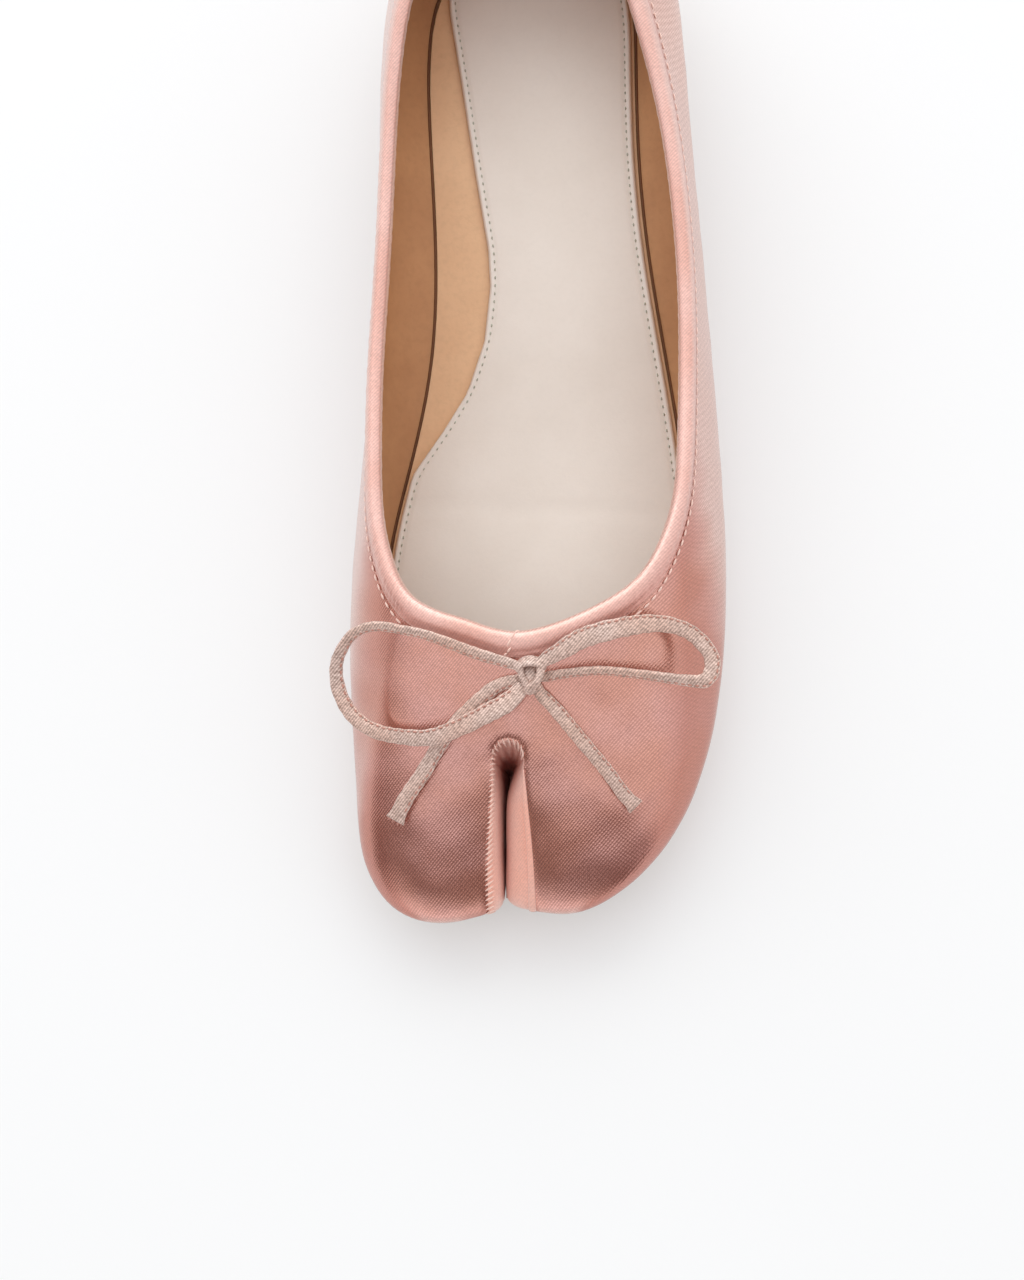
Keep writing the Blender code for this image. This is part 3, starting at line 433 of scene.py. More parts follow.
def slit_half(along):
    """Half the slit's width at a distance from the toe: it narrows towards its arch."""
    share = smooth_step((along - SLIT_NARROWS_FROM) / (ARCH_PLACE - SLIT_NARROWS_FROM))
    return SLIT_HALF_WIDTH + (SLIT_ARCH_HALF_WIDTH - SLIT_HALF_WIDTH) * share


def lip_sink(points):
    """How far the surface sinks near the slit: a small rounding at the lip and a broad dip."""
    aside = np.abs(points[..., 0] - LAST.middle(points[..., 1]))
    behind = np.clip(points[..., 1] - ARCH_PLACE, 0.0, None)
    distance = np.clip(np.hypot(aside, behind) - slit_half(points[..., 1]), 0.0, None)
    rounding = LIP_ROUNDING * np.clip(1.0 - distance / LIP_ROUNDING_REACH, 0.0, 1.0) ** 2
    fade = smooth_step((ARCH_PLACE + DIP_ENDS_PAST_ARCH - points[..., 1]) / DIP_FADE)
    return rounding + hump(distance, LOBE_DIP, LOBE_DIP_REACH) * fade


def up_places(round_places, shares):
    """Up places at shares of the way from the feather line to just under the binding."""
    dense = np.linspace(-1.0, 1.0, 161)
    rows = []
    for round_place in round_places:
        lengths = lengths_along(LAST.base(round_place, dense))
        usable = lengths[-1] - BINDING_HEIGHT - GAP
        rows.append(np.interp(np.asarray(shares) * usable, lengths, dense))
    return np.array(rows)


def top_places(round_places, below_top):
    """Up places at a distance below the top of the collar."""
    dense = np.linspace(-0.2, 1.0, 161)
    lengths = [lengths_along(LAST.base(round_place, dense)) for round_place in round_places]
    return np.array([np.interp(line[-1] - below_top, line, dense) for line in lengths])


def row_shares():
    """Shares of the rows of the upper: up to the slit's arch, then above it."""
    dense = np.linspace(-1.0, 1.0, 401)
    points = LAST.base(0.0, dense)
    lengths = lengths_along(points)
    usable = lengths[-1] - BINDING_HEIGHT - GAP
    front = points[:, 1]
    arch = lengths[np.argmax((front > ARCH_PLACE) & (dense > 0.0))] / usable
    past = lengths[np.argmax((front > ARCH_PLACE + ARCH_BAND) & (dense > 0.0))] / usable
    lower = arch * (np.arange(UPPER_ROWS_AT_SLIT + 1) / UPPER_ROWS_AT_SLIT) ** ROW_CROWDING
    middle = np.linspace(arch, past, UPPER_ROWS_PAST_ARCH + 1)[1:]
    upper = np.linspace(past, 1.0, UPPER_ROWS_ABOVE_SLIT + 1)[1:]
    return np.concatenate((lower, middle, upper))


def ground_column(round_place, row_place, depth):
    """One column of the upper at a constant place round it; the inner skin ends flat below."""
    points = LAST.skin(np.full(len(row_place), round_place), row_place, depth)
    if depth > 0.0:
        dense = np.linspace(-UNDER_REACH, -0.3, 120)
        low = LAST.skin(np.full(len(dense), round_place), dense, depth)
        above = low[:, 2] - feather_height(low[:, 1])
        points[0] = [np.interp(0.0, above, low[:, axis]) for axis in range(3)]
    points[0, 2] = feather_height(points[0, 1])
    return points


class NearSlit:
    """The skin on both sides of the slit, for columns that follow the slit's edge."""

    def __init__(self, shares, depth):
        self.places = np.linspace(-NEAR_REACH, NEAR_REACH, NEAR_COLUMNS)
        rows = up_places(self.places, shares)
        columns = [ground_column(place, rows[index], depth) for index, place in enumerate(self.places)]
        self.points = np.stack(columns)
        self.aside = self.points[..., 0] - LAST.middle(self.points[..., 1])
        self.lip = SLIT_HALF_WIDTH + depth
        self.local_lip = slit_half(self.points[NEAR_COLUMNS // 2, :, 1]) + depth

    def column(self, offset, towards=0.0, share=0.0):
        """A column at a set distance from the slit's middle line, or part of the way to a place."""
        rows = self.points.shape[1]
        points = np.zeros((rows, 3))
        within = min(abs(offset), self.lip)
        beyond = abs(offset) - within
        for row in range(rows):
            aside = np.sign(offset) * (within * self.local_lip[row] / self.lip + beyond)
            place = np.interp(aside, self.aside[:, row], self.places)
            place += (towards - place) * share
            points[row] = [np.interp(place, self.places, self.points[:, row, axis]) for axis in range(3)]
        points[0, 2] = feather_height(points[0, 1])
        return points


def arch_point(across, along, depth):
    """The point of a skin over a place in plan, near the slit's arch."""
    place = np.array([0.0, 0.6])
    target = np.array([across, along])
    step = 1e-3

    def plan(where):
        return LAST.skin(np.array(where[0]), np.array(where[1]), depth)

    for _ in range(12):
        here = plan(place)
        side = (plan(place + [step, 0.0]) - here)[:2] / step
        up = (plan(place + [0.0, step]) - here)[:2] / step
        place = place + np.linalg.solve(np.stack([side, up], axis=1), target - here[:2])
    return plan(place)


def round_places():
    """Places round the upper for its plain columns, from the outer toe rib to the inner one."""
    knots = LAST.knots[1:]
    places = []
    for start, end in zip(knots[:-1], knots[1:]):
        pieces = max(1, int(np.ceil((end - start) * LAST.girth / COLUMN_SPACING)))
        places.extend(np.linspace(start, end, pieces, endpoint=False))
    places.append(knots[-1])
    return np.array(places)


# How full the slit's outer and inner walls are, how full both are under the arch, and the share of
# the way to the arch at which that starts, with its length
WALL_FULLNESS = (3.3, 4.6)
ARCH_FULLNESS = 1.3
ARCH_FULLNESS_FROM = 0.58
ARCH_FULLNESS_RUN = 0.38
# Where along the lip the walls' lengthwise course starts to follow their fullness, and how slowly
# they start to drop, away from the arch and under it
EASE_RATE = 1.4
EASE_FROM = 0.25
WALL_DROP = 1.5
ARCH_DROP = 0.8


def gusset_strip(lips, mouth_along, end_along, half_gap, arch_from, arch_to):
    """Points of the walls inside the slit, from each point of the lip down to the sole."""
    lips = np.asarray(lips)
    climb = lengths_along(lips)
    apex = len(lips) // 2
    strip = []
    for index, lip in enumerate(lips):
        way = climb[index] if index <= apex else climb[-1] - climb[index]
        side = 1.0 if index < apex else -1.0
        if arch_from <= index <= arch_to:
            turn = np.pi * (index - arch_from) / (arch_to - arch_from)
            along = end_along + half_gap * np.sin(turn)
            aside = half_gap * np.cos(turn)
        else:
            along = mouth_along + (end_along - mouth_along) * way / climb[arch_from]
            aside = half_gap * side
        bottom = np.array([LAST.middle(along) - SLIT_LEAN + aside, along, feather_height(along)])
        share = np.linspace(0.0, 1.0, GUSSET_STEPS + 1)[1:]
        near_arch = smooth_step((way / climb[apex] - ARCH_FULLNESS_FROM) / ARCH_FULLNESS_RUN)
        fullness = WALL_FULLNESS[0] if side > 0.0 else WALL_FULLNESS[1]
        quick = 1.0 - (1.0 - share) ** (fullness - (fullness - ARCH_FULLNESS) * near_arch)
        slow = share ** (WALL_DROP - (WALL_DROP - ARCH_DROP) * near_arch)
        ease = smooth_step(way / climb[apex] * EASE_RATE - EASE_FROM)
        row = np.zeros((GUSSET_STEPS, 3))
        row[:, 0] = lip[0] + (bottom[0] - lip[0]) * quick
        row[:, 1] = lip[1] + (bottom[1] - lip[1]) * (slow + (quick - slow) * ease)
        row[:, 2] = lip[2] + (bottom[2] - lip[2]) * slow
        if index in (0, len(lips) - 1):
            row[:, 2] = feather_height(row[:, 1])
        strip.append(row)
    return np.array(strip)


class Skin:
    """One skin of the upper: grid of columns, band behind the arch and the slit's walls."""

    def __init__(self, depth):
        lip = SLIT_HALF_WIDTH + depth
        shares = row_shares()
        self.arch_row = UPPER_ROWS_AT_SLIT
        self.top_row = len(shares) - 1
        past = self.arch_row + UPPER_ROWS_PAST_ARCH
        near = NearSlit(shares, depth)
        plain = round_places()
        rows = up_places(plain, shares)
        steps = np.arange(1, COLUMNS_PAST_LIP + 1) / (COLUMNS_PAST_LIP + 1.0)
        furthest = lip + LIP_COLUMNS[-1]
        columns = [near.column(lip + beyond) for beyond in LIP_COLUMNS]
        columns += [near.column(furthest, plain[0], step) for step in steps]
        columns += [ground_column(place, rows[index], depth) for index, place in enumerate(plain)]
        columns += [near.column(-furthest, plain[-1] - 1.0, step) for step in reversed(steps)]
        columns += [near.column(-lip - beyond) for beyond in reversed(LIP_COLUMNS)]
        self.columns = np.array(columns)

        self.band = np.zeros((BAND_COLUMNS - 1, self.top_row - self.arch_row + 1, 3))
        offsets = np.cos(np.pi * np.arange(1, BAND_COLUMNS) / BAND_COLUMNS) * lip
        front = (self.columns[0, self.arch_row, 1] + self.columns[-1, self.arch_row, 1]) / 2.0
        for index, offset in enumerate(offsets):
            self.band[index] = near.column(offset)[self.arch_row:]
            arch_lip = SLIT_ARCH_HALF_WIDTH + depth
            aside = offset * arch_lip / lip
            along = front + np.sqrt(arch_lip ** 2 - aside ** 2)
            start = np.array([LAST.middle(along) + aside, along])
            end = self.band[index, past - self.arch_row, :2]
            for row in range(UPPER_ROWS_PAST_ARCH):
                place = start + (end - start) * row / UPPER_ROWS_PAST_ARCH
                self.band[index, row] = arch_point(place[0], place[1], depth)

        outer_lip = self.columns[0, :self.arch_row + 1]
        inner_lip = self.columns[-1, :self.arch_row + 1][::-1]
        self.lips = np.concatenate([outer_lip, self.band[:, 0], inner_lip])
        mouth = self.columns[0, 0, 1] + STRIP_MOUTH
        self.strip = gusset_strip(self.lips, mouth, ARCH_PLACE - STRIP_END, SLIT_FOLD_GAP + depth,
                                  self.arch_row, self.arch_row + BAND_COLUMNS)

    def mesh(self):
        """All points and faces of the skin, and the number of its first face inside the slit."""
        numbers = []
        first = 0
        for part in (self.columns, self.band, self.strip):
            numbers.append(first + np.arange(part.shape[0] * part.shape[1]).reshape(part.shape[:2]))
            first += part.shape[0] * part.shape[1]
        grid, band, strip = numbers
        wide_band = np.vstack([grid[-1, self.arch_row:], band[::-1], grid[0, self.arch_row:]])
        path = np.concatenate([grid[0, :self.arch_row + 1], band[:, 0],
                               grid[-1, :self.arch_row + 1][::-1]])
        walls = grid_faces(np.column_stack([path, strip]))
        faces = grid_faces(grid) + grid_faces(wide_band)
        points = [part.reshape(-1, 3) for part in (self.columns, self.band, self.strip)]
        return np.concatenate(points), faces + walls, len(faces)


WELL_ABOVE = 1.3


def level_loop(skin, height):
    """Plan places where a skin passes a height above its lower edge, all the way round."""

    def crossing(line):
        above = line[:, 2] - feather_height(line[:, 1])
        for start in range(len(line) - 1):
            low, high = above[start], above[start + 1]
            if (low - height) * (high - height) <= 0.0 and low != high:
                share = (height - low) / (high - low)
                return (line[start] + (line[start + 1] - line[start]) * share)[:2]
        return None

    loop = [crossing(column) for column in skin.columns]
    walls = np.concatenate([skin.lips[:, None], skin.strip], axis=1)
    inside = []
    for index in range(1, len(walls) - 1):
        if walls[index, 0, 2] - feather_height(walls[index, 0, 1]) > height * WELL_ABOVE:
            inside.append(crossing(walls[index]))
    loop += [place for place in reversed(inside) if place is not None]
    return np.array(loop)


def pushed(loop, distance):
    """A closed plan loop moved outwards by a distance, which may differ along it."""
    ahead = np.roll(loop, -1, axis=0) - np.roll(loop, 1, axis=0)
    outward = unit(np.stack([ahead[:, 1], -ahead[:, 0]], axis=1))
    return loop + outward * np.reshape(distance, (-1, 1))


def rail(loop, along, side):
    """Across place of a loop's outer (side 1) or inner (side -1) edge at a distance from the toe."""
    closed = np.vstack([loop, loop[:1]])
    found = []
    for first, second in zip(closed[:-1], closed[1:]):
        if (first[1] - along) * (second[1] - along) <= 0.0 and first[1] != second[1]:
            share = (along - first[1]) / (second[1] - first[1])
            found.append(first[0] + (second[0] - first[0]) * share)
    return max(found) if side > 0 else min(found)


SMOOTH_STEPS = 12


def smooth_line(points, count):
    """Evenly spaced points on a smooth curve through the given ones."""
    points = np.asarray(points)
    padded = np.vstack([2 * points[0] - points[1], points, 2 * points[-1] - points[-2]])
    dense = []
    for index in range(len(points) - 1):
        a, b, c, d = padded[index:index + 4]
        for share in np.linspace(0.0, 1.0, SMOOTH_STEPS, endpoint=False):
            dense.append(0.5 * (2 * b + (c - a) * share + (2 * a - 5 * b + 4 * c - d) * share ** 2
                                + (3 * b - a - 3 * c + d) * share ** 3))
    dense.append(points[-1])
    dense = np.array(dense)
    return resampled(dense, np.linspace(0.0, lengths_along(dense)[-1], count))


# How far to each side a ribbon feels for the surface under it, as a share of its width
RIBBON_FOOT = 0.35


def ribbon_route(rows, surface):
    """Route of a ribbon piece from its table, never lower than just above the upper."""
    knot_across = KNOT_PLACE[0] * BALL_WIDTH
    knot_along = KNOT_PLACE[1] * SHOE_LENGTH
    table = [(knot_across + across * BALL_WIDTH, knot_along - along * SHOE_LENGTH, height * THROAT_HEIGHT)
             for across, along, height in rows]
    route = smooth_line(table, 4 * len(table))
    reach = RIBBON_WIDTH * RIBBON_FOOT
    for place in route:
        under = max(surface(place[0] + side, place[1] + front)
                    for side in (-reach, 0.0, reach) for front in (-reach, 0.0, reach))
        place[2] = max(place[2], under + RIBBON_THICKNESS / 2.0 + GAP)
    return route


def tucked(rows, both_ends):
    """A ribbon's table with its ends carried on into the knot."""
    def inner(row):
        return (row[0] * TUCK, row[1] * TUCK, row[2])
    rows = [inner(rows[0])] + list(rows)
    if both_ends:
        rows.append(inner(rows[-1]))
    return rows


ABOVE_ALL = 0.2


def height_over(meshes):
    """A function that gives the height of the topmost surface over a place in plan."""
    trees = [BVHTree.FromPolygons([Vector(point) for point in points], faces) for points, faces in meshes]

    def surface(x, y):
        found = []
        for tree in trees:
            place = tree.ray_cast(Vector((x, y, ABOVE_ALL)), -Vector(UPRIGHT))[0]
            if place is not None:
                found.append(place.z)
        return max(found) if found else 0.0

    return surface


# Pieces

def put_in_scene(name, data):
    thing = bpy.data.objects.new(name, data)
    bpy.context.scene.collection.objects.link(thing)
    return thing


def add_piece(name, points, faces, material, slot, replaced=()):
    """One smooth piece of the shoe, from points in the last's own coordinates."""
    mesh = bpy.data.meshes.new(name)
    mesh.from_pydata([tuple(Vector(point) + SHIFT) for point in points], [], [tuple(face) for face in faces])
    mesh.shade_smooth()
    mesh.materials.append(material)
    thing = put_in_scene(name, mesh)
    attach(thing, "root")
    if replaced:
        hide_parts(*replaced)
    return thing


def shade_points(thing, shades):
    """Keeps how much painted shade each point of a satin piece gets, from 0 to 1, for its finish."""
    painted_shades = thing.data.attributes.new("depth", "FLOAT", "POINT")
    painted_shades.data.foreach_set("value", shades)


def oval(sides, across, upwards):
    """Outline of a small oval section."""
    turns = np.linspace(0.0, FULL_TURN, sides, endpoint=False)
    return np.stack([np.cos(turns) * across, np.sin(turns) * upwards], axis=1)


def swept(line, widths, section, ups, closed=False):
    """A section swept along a line. The section's columns are across and up; widths scale across."""
    ahead = np.gradient(line, axis=0)
    if closed:
        ahead = np.roll(line, -1, axis=0) - np.roll(line, 1, axis=0)
    ahead = unit(ahead)
    side = unit(np.cross(ups, ahead))
    up = np.cross(ahead, side)
    section = np.broadcast_to(section, (len(line),) + np.shape(section)[-2:])
    points = (line[:, None] + side[:, None] * section[..., :1] * np.reshape(widths, (-1, 1, 1))
              + up[:, None] * section[..., 1:])
    return points.reshape(-1, 3), tube_faces(0, len(line), points.shape[1], closed)


def stitches_along(line, first, last, pitch, length, count=3):
    """Lines of stitches of a length at a pitch; first and last are left free at the line's ends."""
    starts = np.arange(first, lengths_along(line)[-1] - last, pitch)
    return [resampled(line, start + np.linspace(0.0, length, count)) for start in starts]


NEARLY_UPRIGHT = 0.8
THREAD_SHAPE = (0.25, 0.85, 1.0, 0.85, 0.25)
THREAD_SIDES = 6


def threads(lines, radius):
    """Short rounded threads, one along each line of points."""
    points = []
    faces = []
    for line in lines:
        at = np.linspace(0.0, 1.0, len(THREAD_SHAPE)) * lengths_along(line)[-1]
        line = resampled(line, at)
        ahead = unit(np.gradient(line, axis=0))
        helper = (0.0, 0.0, 1.0) if abs(ahead[2, 2]) < NEARLY_UPRIGHT else (1.0, 0.0, 0.0)
        side = unit(np.cross(helper, ahead))
        up = np.cross(ahead, side)
        faces += tube_faces(len(points), len(THREAD_SHAPE), THREAD_SIDES, inside_out=True)
        for index, share in enumerate(THREAD_SHAPE):
            for turn in np.arange(THREAD_SIDES) * FULL_TURN / THREAD_SIDES:
                around = side[index] * np.cos(turn) + up[index] * np.sin(turn)
                points.append(line[index] + around * radius * share)
    return points, faces


# The camera

TARGET = (-0.0043, 0.064, 0.025)
CAMERA_TILT = (6.0, -10.0)
CAMERA_DISTANCE = 0.8
FOCUS_IN_PIXELS = 3496.0
FRAME_HEIGHT = 1280.0
SENSOR_HEIGHT = 24.0


def place_camera():
    data = bpy.data.cameras.new("camera")
    camera = put_in_scene("camera", data)
    data.sensor_fit = "VERTICAL"
    data.sensor_height = SENSOR_HEIGHT
    data.lens = FOCUS_IN_PIXELS * SENSOR_HEIGHT / FRAME_HEIGHT
    data.clip_start = 0.01
    data.clip_end = 20.0
    across, along = np.tan(np.radians(CAMERA_TILT))
    back = Vector((across, along, 1.0)).normalized()
    target = Vector(TARGET) + SHIFT
    camera.location = target + back * CAMERA_DISTANCE
    right = Vector((0.0, 1.0, 0.0)).cross(back).normalized()
    up = back.cross(right)
    camera.rotation_mode = "QUATERNION"
    camera.rotation_quaternion = Matrix((right, up, back)).transposed().to_quaternion()
    bpy.context.scene.camera = camera


# Finishes

class Nodes:
    """The nodes of a material or of the sky."""

    def __init__(self, tree):
        self.tree = tree

    def node(self, kind, inputs=None, **options):
        made = self.tree.nodes.new("ShaderNode" + kind)
        for option, value in options.items():
            setattr(made, option, value)
        for socket, value in (inputs or {}).items():
            if isinstance(value, bpy.types.NodeSocket):
                self.tree.links.new(value, made.inputs[socket])
            else:
                made.inputs[socket].default_value = value
        return made

    def maths(self, operation, first, second=0.0):
        made = self.node("Math", {0: first, 1: second}, operation=operation)
        return made.outputs[0]

    def ramp(self, amount, low, high):
        """An amount stretched so that low becomes 0 and high becomes 1."""
        inputs = {"Value": amount, "From Min": low, "From Max": high}
        return self.node("MapRange", inputs, clamp=True).outputs["Result"]

    def mix(self, amount, first, second):
        made = self.node("Mix", data_type="RGBA")
        for socket, value in ((0, amount), (6, first), (7, second)):
            if isinstance(value, bpy.types.NodeSocket):
                self.tree.links.new(value, made.inputs[socket])
            else:
                made.inputs[socket].default_value = value if socket == 0 else (*value, 1.0)
        return made.outputs[2]


class Finish(Nodes):
    """A material and the nodes that paint it."""

    def __init__(self, name, roughness, **fixed):
        self.material = bpy.data.materials.new(name)
        self.material.use_nodes = True
        super().__init__(self.material.node_tree)
        self.shader = self.tree.nodes["Principled BSDF"]
        self.shader.inputs["Roughness"].default_value = roughness
        for socket, value in fixed.items():
            self.shader.inputs[socket.replace("_", " ")].default_value = value
        self.place = self.node("TexCoord").outputs["Object"]

    def turned(self, degrees, scale=(1.0, 1.0, 1.0)):
        """The place, turned and scaled."""
        inputs = {"Vector": self.place, "Rotation": tuple(np.radians(degrees)), "Scale": scale}
        return self.node("Mapping", inputs).outputs["Vector"]

    def noise(self, size, detail=2.0, place=None):
        """Soft noise with patches of about that size in metres."""
        inputs = {"Vector": place or self.place, "Scale": 1.0 / size, "Detail": detail}
        return self.node("TexNoise", inputs).outputs["Fac"]

    def lines(self, spacing, degrees, distortion=0.0):
        """Parallel lines at a spacing in metres, turned by three angles."""
        inputs = {"Vector": self.turned(degrees), "Scale": np.pi / 10.0 / spacing, "Distortion": distortion}
        return self.node("TexWave", inputs, wave_type="BANDS", bands_direction="X").outputs["Fac"]

    def blend(self, share, first, second):
        """Two amounts, softly joined by a share from 0, all the first, to 1, all the second."""
        kept = self.maths("MULTIPLY", first, self.maths("SUBTRACT", 1.0, share))
        return self.maths("ADD", kept, self.maths("MULTIPLY", second, share))

    def toe_side(self):
        """How far the surface faces both a side and the front, from 0 to 1: the mask of the satin's painted
        toe shade.
        """
        normal = self.node("SeparateXYZ", {"Vector": self.node("NewGeometry").outputs["Normal"]})
        aside = self.maths("ABSOLUTE", normal.outputs["X"])
        aside = self.maths("MAXIMUM", self.maths("SUBTRACT", aside, 0.15), 0.0)
        front = self.maths("MAXIMUM", self.maths("MULTIPLY", normal.outputs["Y"], -1.0), 0.0)
        return self.ramp(self.maths("MULTIPLY", aside, front), 0.0, 0.1)

    def weave(self, spacing):
        """Rows of thread dots on the slant, drawn apart for the top, the sides and the back."""
        normal = self.node("SeparateXYZ", {"Vector": self.node("NewGeometry").outputs["Normal"]})
        aside, behind, upward = [self.maths("ABSOLUTE", normal.outputs[axis]) for axis in "XYZ"]
        on_back = self.ramp(self.maths("SUBTRACT", behind, aside), -0.15, 0.15)
        on_top = self.ramp(upward, 0.45, 0.75)
        wall = self.blend(on_back, self.lines(spacing, (-42.0, 0.0, 90.0), 0.3),
                          self.lines(spacing, (0.0, 42.0, 0.0), 0.3))
        wall = self.blend(0.45, wall, 0.6)
        rows = self.blend(on_top, wall, self.lines(spacing, (0.0, 0.0, 42.0), 0.3))
        dots = self.maths("MULTIPLY", self.lines(spacing * 1.25, (0.0, 35.0, -30.0), 0.4), 0.4)
        return self.maths("MULTIPLY", rows, self.maths("ADD", dots, 0.6))

    def paint(self, colour, height=None, depth=0.0, strength=1.0, roughness=None):
        """Sets the colour, the bump with its depth in metres, and the roughness."""
        self.tree.links.new(colour, self.shader.inputs["Base Color"])
        if height is not None:
            bump = self.node("Bump", {"Height": height, "Distance": depth, "Strength": strength})
            self.tree.links.new(bump.outputs["Normal"], self.shader.inputs["Normal"])
        if roughness is not None:
            self.tree.links.new(roughness, self.shader.inputs["Roughness"])
        return self.material


def tone(red, green, blue):
    """A colour as seen, from 0 to 255, made linear."""
    seen = np.array([red, green, blue]) / 255.0
    linear = np.where(seen <= 0.04045, seen / 12.92, ((seen + 0.055) / 1.055) ** 2.4)
    return tuple(float(value) for value in linear)


WEAVE_SPACING = 0.00056
# Painted sheen: the pale tone mixed into the satin where its surface turns away from view
PAINTED_SHEEN_TONE = (250, 226, 217)
# Painted shade: the deeper pink put on the sides of the toe
TOE_SHADE_TONE = (190, 112, 96)
# Painted shade: the dark colour that the points' depth values mix in
DEEP_SHADE = (186, 98, 82)


def satin(name, deep, light, gloss, shine, grain, speckle=0.14, toe_shade_weight=0.0):
    """Satin: slanted weave, soft patches of two pinks, a silky gloss, and a painted sheen that makes it
    paler where it turns away.

    The toe shade weight is how much painted shade, a deeper pink, it gets on the sides of the toe.
    """
    finish = Finish(name, gloss, Metallic=shine, Specular_IOR_Level=0.6, Sheen_Weight=0.05,
                    Sheen_Roughness=0.35, Sheen_Tint=(1.0, 0.86, 0.82, 1.0))
    patches = finish.ramp(finish.noise(0.02, 3.0), 0.38, 0.62)
    weave = finish.weave(WEAVE_SPACING)
    slubs = finish.noise(0.0005, 2.0, finish.turned((0.0, 0.0, 42.0), (0.5, 1.0, 1.0)))
    colour = finish.mix(patches, deep, light)
    # Painted sheen: paler colour where the surface turns away from view
    facing = finish.node("LayerWeight", {"Blend": 0.5}).outputs["Facing"]
    turned = finish.ramp(facing, 0.2, 0.65)
    # Painted shade: a deeper pink where the surface faces aside and forward, on the sides of the toe
    toe_side = finish.maths("MULTIPLY", finish.toe_side(), finish.ramp(facing, 0.08, 0.25))
    toe_shade_amount = finish.maths("MULTIPLY", toe_side, toe_shade_weight)
    painted_sheen = finish.maths("MULTIPLY", turned, finish.maths("SUBTRACT", 0.7, toe_shade_amount))
    colour = finish.mix(painted_sheen, colour, tone(*PAINTED_SHEEN_TONE))
    colour = finish.mix(toe_shade_amount, colour, tone(*TOE_SHADE_TONE))
    darker = finish.maths("MULTIPLY", finish.maths("SUBTRACT", 1.0, weave), grain)
    darker = finish.maths("ADD", darker, finish.maths("MULTIPLY", finish.ramp(slubs, 0.40, 0.62), speckle))
    colour = finish.mix(darker, colour, tuple(part * 0.35 for part in deep))
    # Painted shade: the points' depth values darken the colour towards the deep shade colour
    shade = finish.node("Attribute", attribute_name="depth").outputs["Fac"]
    colour = finish.mix(shade, colour, tone(*DEEP_SHADE))
    height = finish.maths("ADD", weave, finish.maths("MULTIPLY", slubs, 0.7))
    return finish.paint(colour, height, 0.00004, 0.6)


def leather(name, deep, light, roughness, grain, depth, wear=0.18):
    """Leather: mottled colour with fine pores."""
    finish = Finish(name, roughness, Specular_IOR_Level=0.4)
    mottle = finish.ramp(finish.noise(0.022, 4.0), 0.3, 0.7)
    pores = finish.node("TexVoronoi", {"Vector": finish.place, "Scale": 1.0 / grain}).outputs["Distance"]
    fibres = finish.noise(grain * 2.2, 5.0)
    colour = finish.mix(mottle, deep, light)
    colour = finish.mix(finish.maths("MULTIPLY", finish.ramp(fibres, 0.45, 0.8), wear), colour,
                        tuple(part * 0.6 for part in deep))
    height = finish.maths("ADD", pores, finish.maths("MULTIPLY", fibres, 1.2))
    return finish.paint(colour, height, depth, 0.5)


def thread_finish(name, colour):
    """Sewing thread with a fine twist."""
    finish = Finish(name, 0.5, Sheen_Weight=0.2)
    twist = finish.lines(0.00022, (0.0, 30.0, 35.0))
    shade = finish.mix(finish.maths("MULTIPLY", twist, 0.3), colour, tuple(part * 0.6 for part in colour))
    return finish.paint(shade, twist, 0.00003, 0.6)


FINISHES = {
    # The satin's last number is the weight of its painted shade on the sides of the toe
    "satin": satin("satin", tone(240, 178, 160), tone(243, 187, 177), 0.21, 0.82, 0.52, 0.14, 0.56),
    # The fold satin is a lighter, less shiny copy of the satin: painted light for the slit's walls, its
    # folded lip and its base, which lie in shade
    "fold": satin("fold", tone(255, 192, 172), tone(255, 205, 190), 0.42, 0.0, 0.2),
    "binding": satin("binding", tone(244, 192, 178), tone(252, 207, 196), 0.36, 0.6, 0.3),
    "ribbon": satin("ribbon", tone(255, 216, 198), tone(255, 232, 221), 0.45, 0.3, 0.7, 0.36),
    "lining": leather("lining", tone(178, 128, 88), tone(198, 148, 104), 0.6, 0.0007, 0.00005),
    "insole": leather("insole", tone(220, 178, 138), tone(232, 192, 152), 0.5, 0.0006, 0.00004),
    "sock": leather("sock", tone(227, 219, 209), tone(234, 227, 218), 0.5, 0.0005, 0.00002, 0.05),
    "sole": leather("sole", tone(150, 128, 98), tone(172, 150, 118), 0.75, 0.0009, 0.00008),
    "heel": leather("heel", tone(140, 108, 78), tone(162, 130, 96), 0.5, 0.0008, 0.00006),
    # Painted shade: a dark strip for the gap between the insole and the lining
    "gap_shade": leather("gap_shade", tone(96, 62, 38), tone(118, 78, 50), 0.7, 0.0007, 0.00004),
    "seam": thread_finish("seam", tone(250, 214, 200)),
    # The ribbons' stitch thread is darker than the ribbon: painted shade of the groove it lies in
    "ribbon_seam": thread_finish("ribbon_seam", tone(200, 142, 126)),
    "sock_seam": thread_finish("sock_seam", tone(178, 180, 162)),
}


# The upper

# Soft creases of the satin. Columns: start and end as across, along and height, then half width
# and depth; a negative depth is a ridge
CREASES = (
    ((0.0286, 0.0420, 0.030), (0.0340, 0.0388, 0.028), 0.0013, 0.00035),
    ((0.0262, 0.0380, 0.030), (0.0325, 0.0392, 0.028), 0.0011, 0.00025),
    ((0.0072, 0.0350, 0.031), (0.0006, 0.0328, 0.031), 0.0012, 0.00008),
    ((0.0095, 0.0520, 0.036), (0.0200, 0.0440, 0.034), 0.0030, 0.00022),
    ((-0.0130, 0.0500, 0.036), (-0.0230, 0.0400, 0.032), 0.0032, 0.00022),
    ((0.0120, 0.0300, 0.030), (0.0260, 0.0240, 0.024), 0.0045, -0.00025),
    ((-0.0160, 0.0280, 0.028), (-0.0280, 0.0200, 0.022), 0.0045, -0.00020),
)
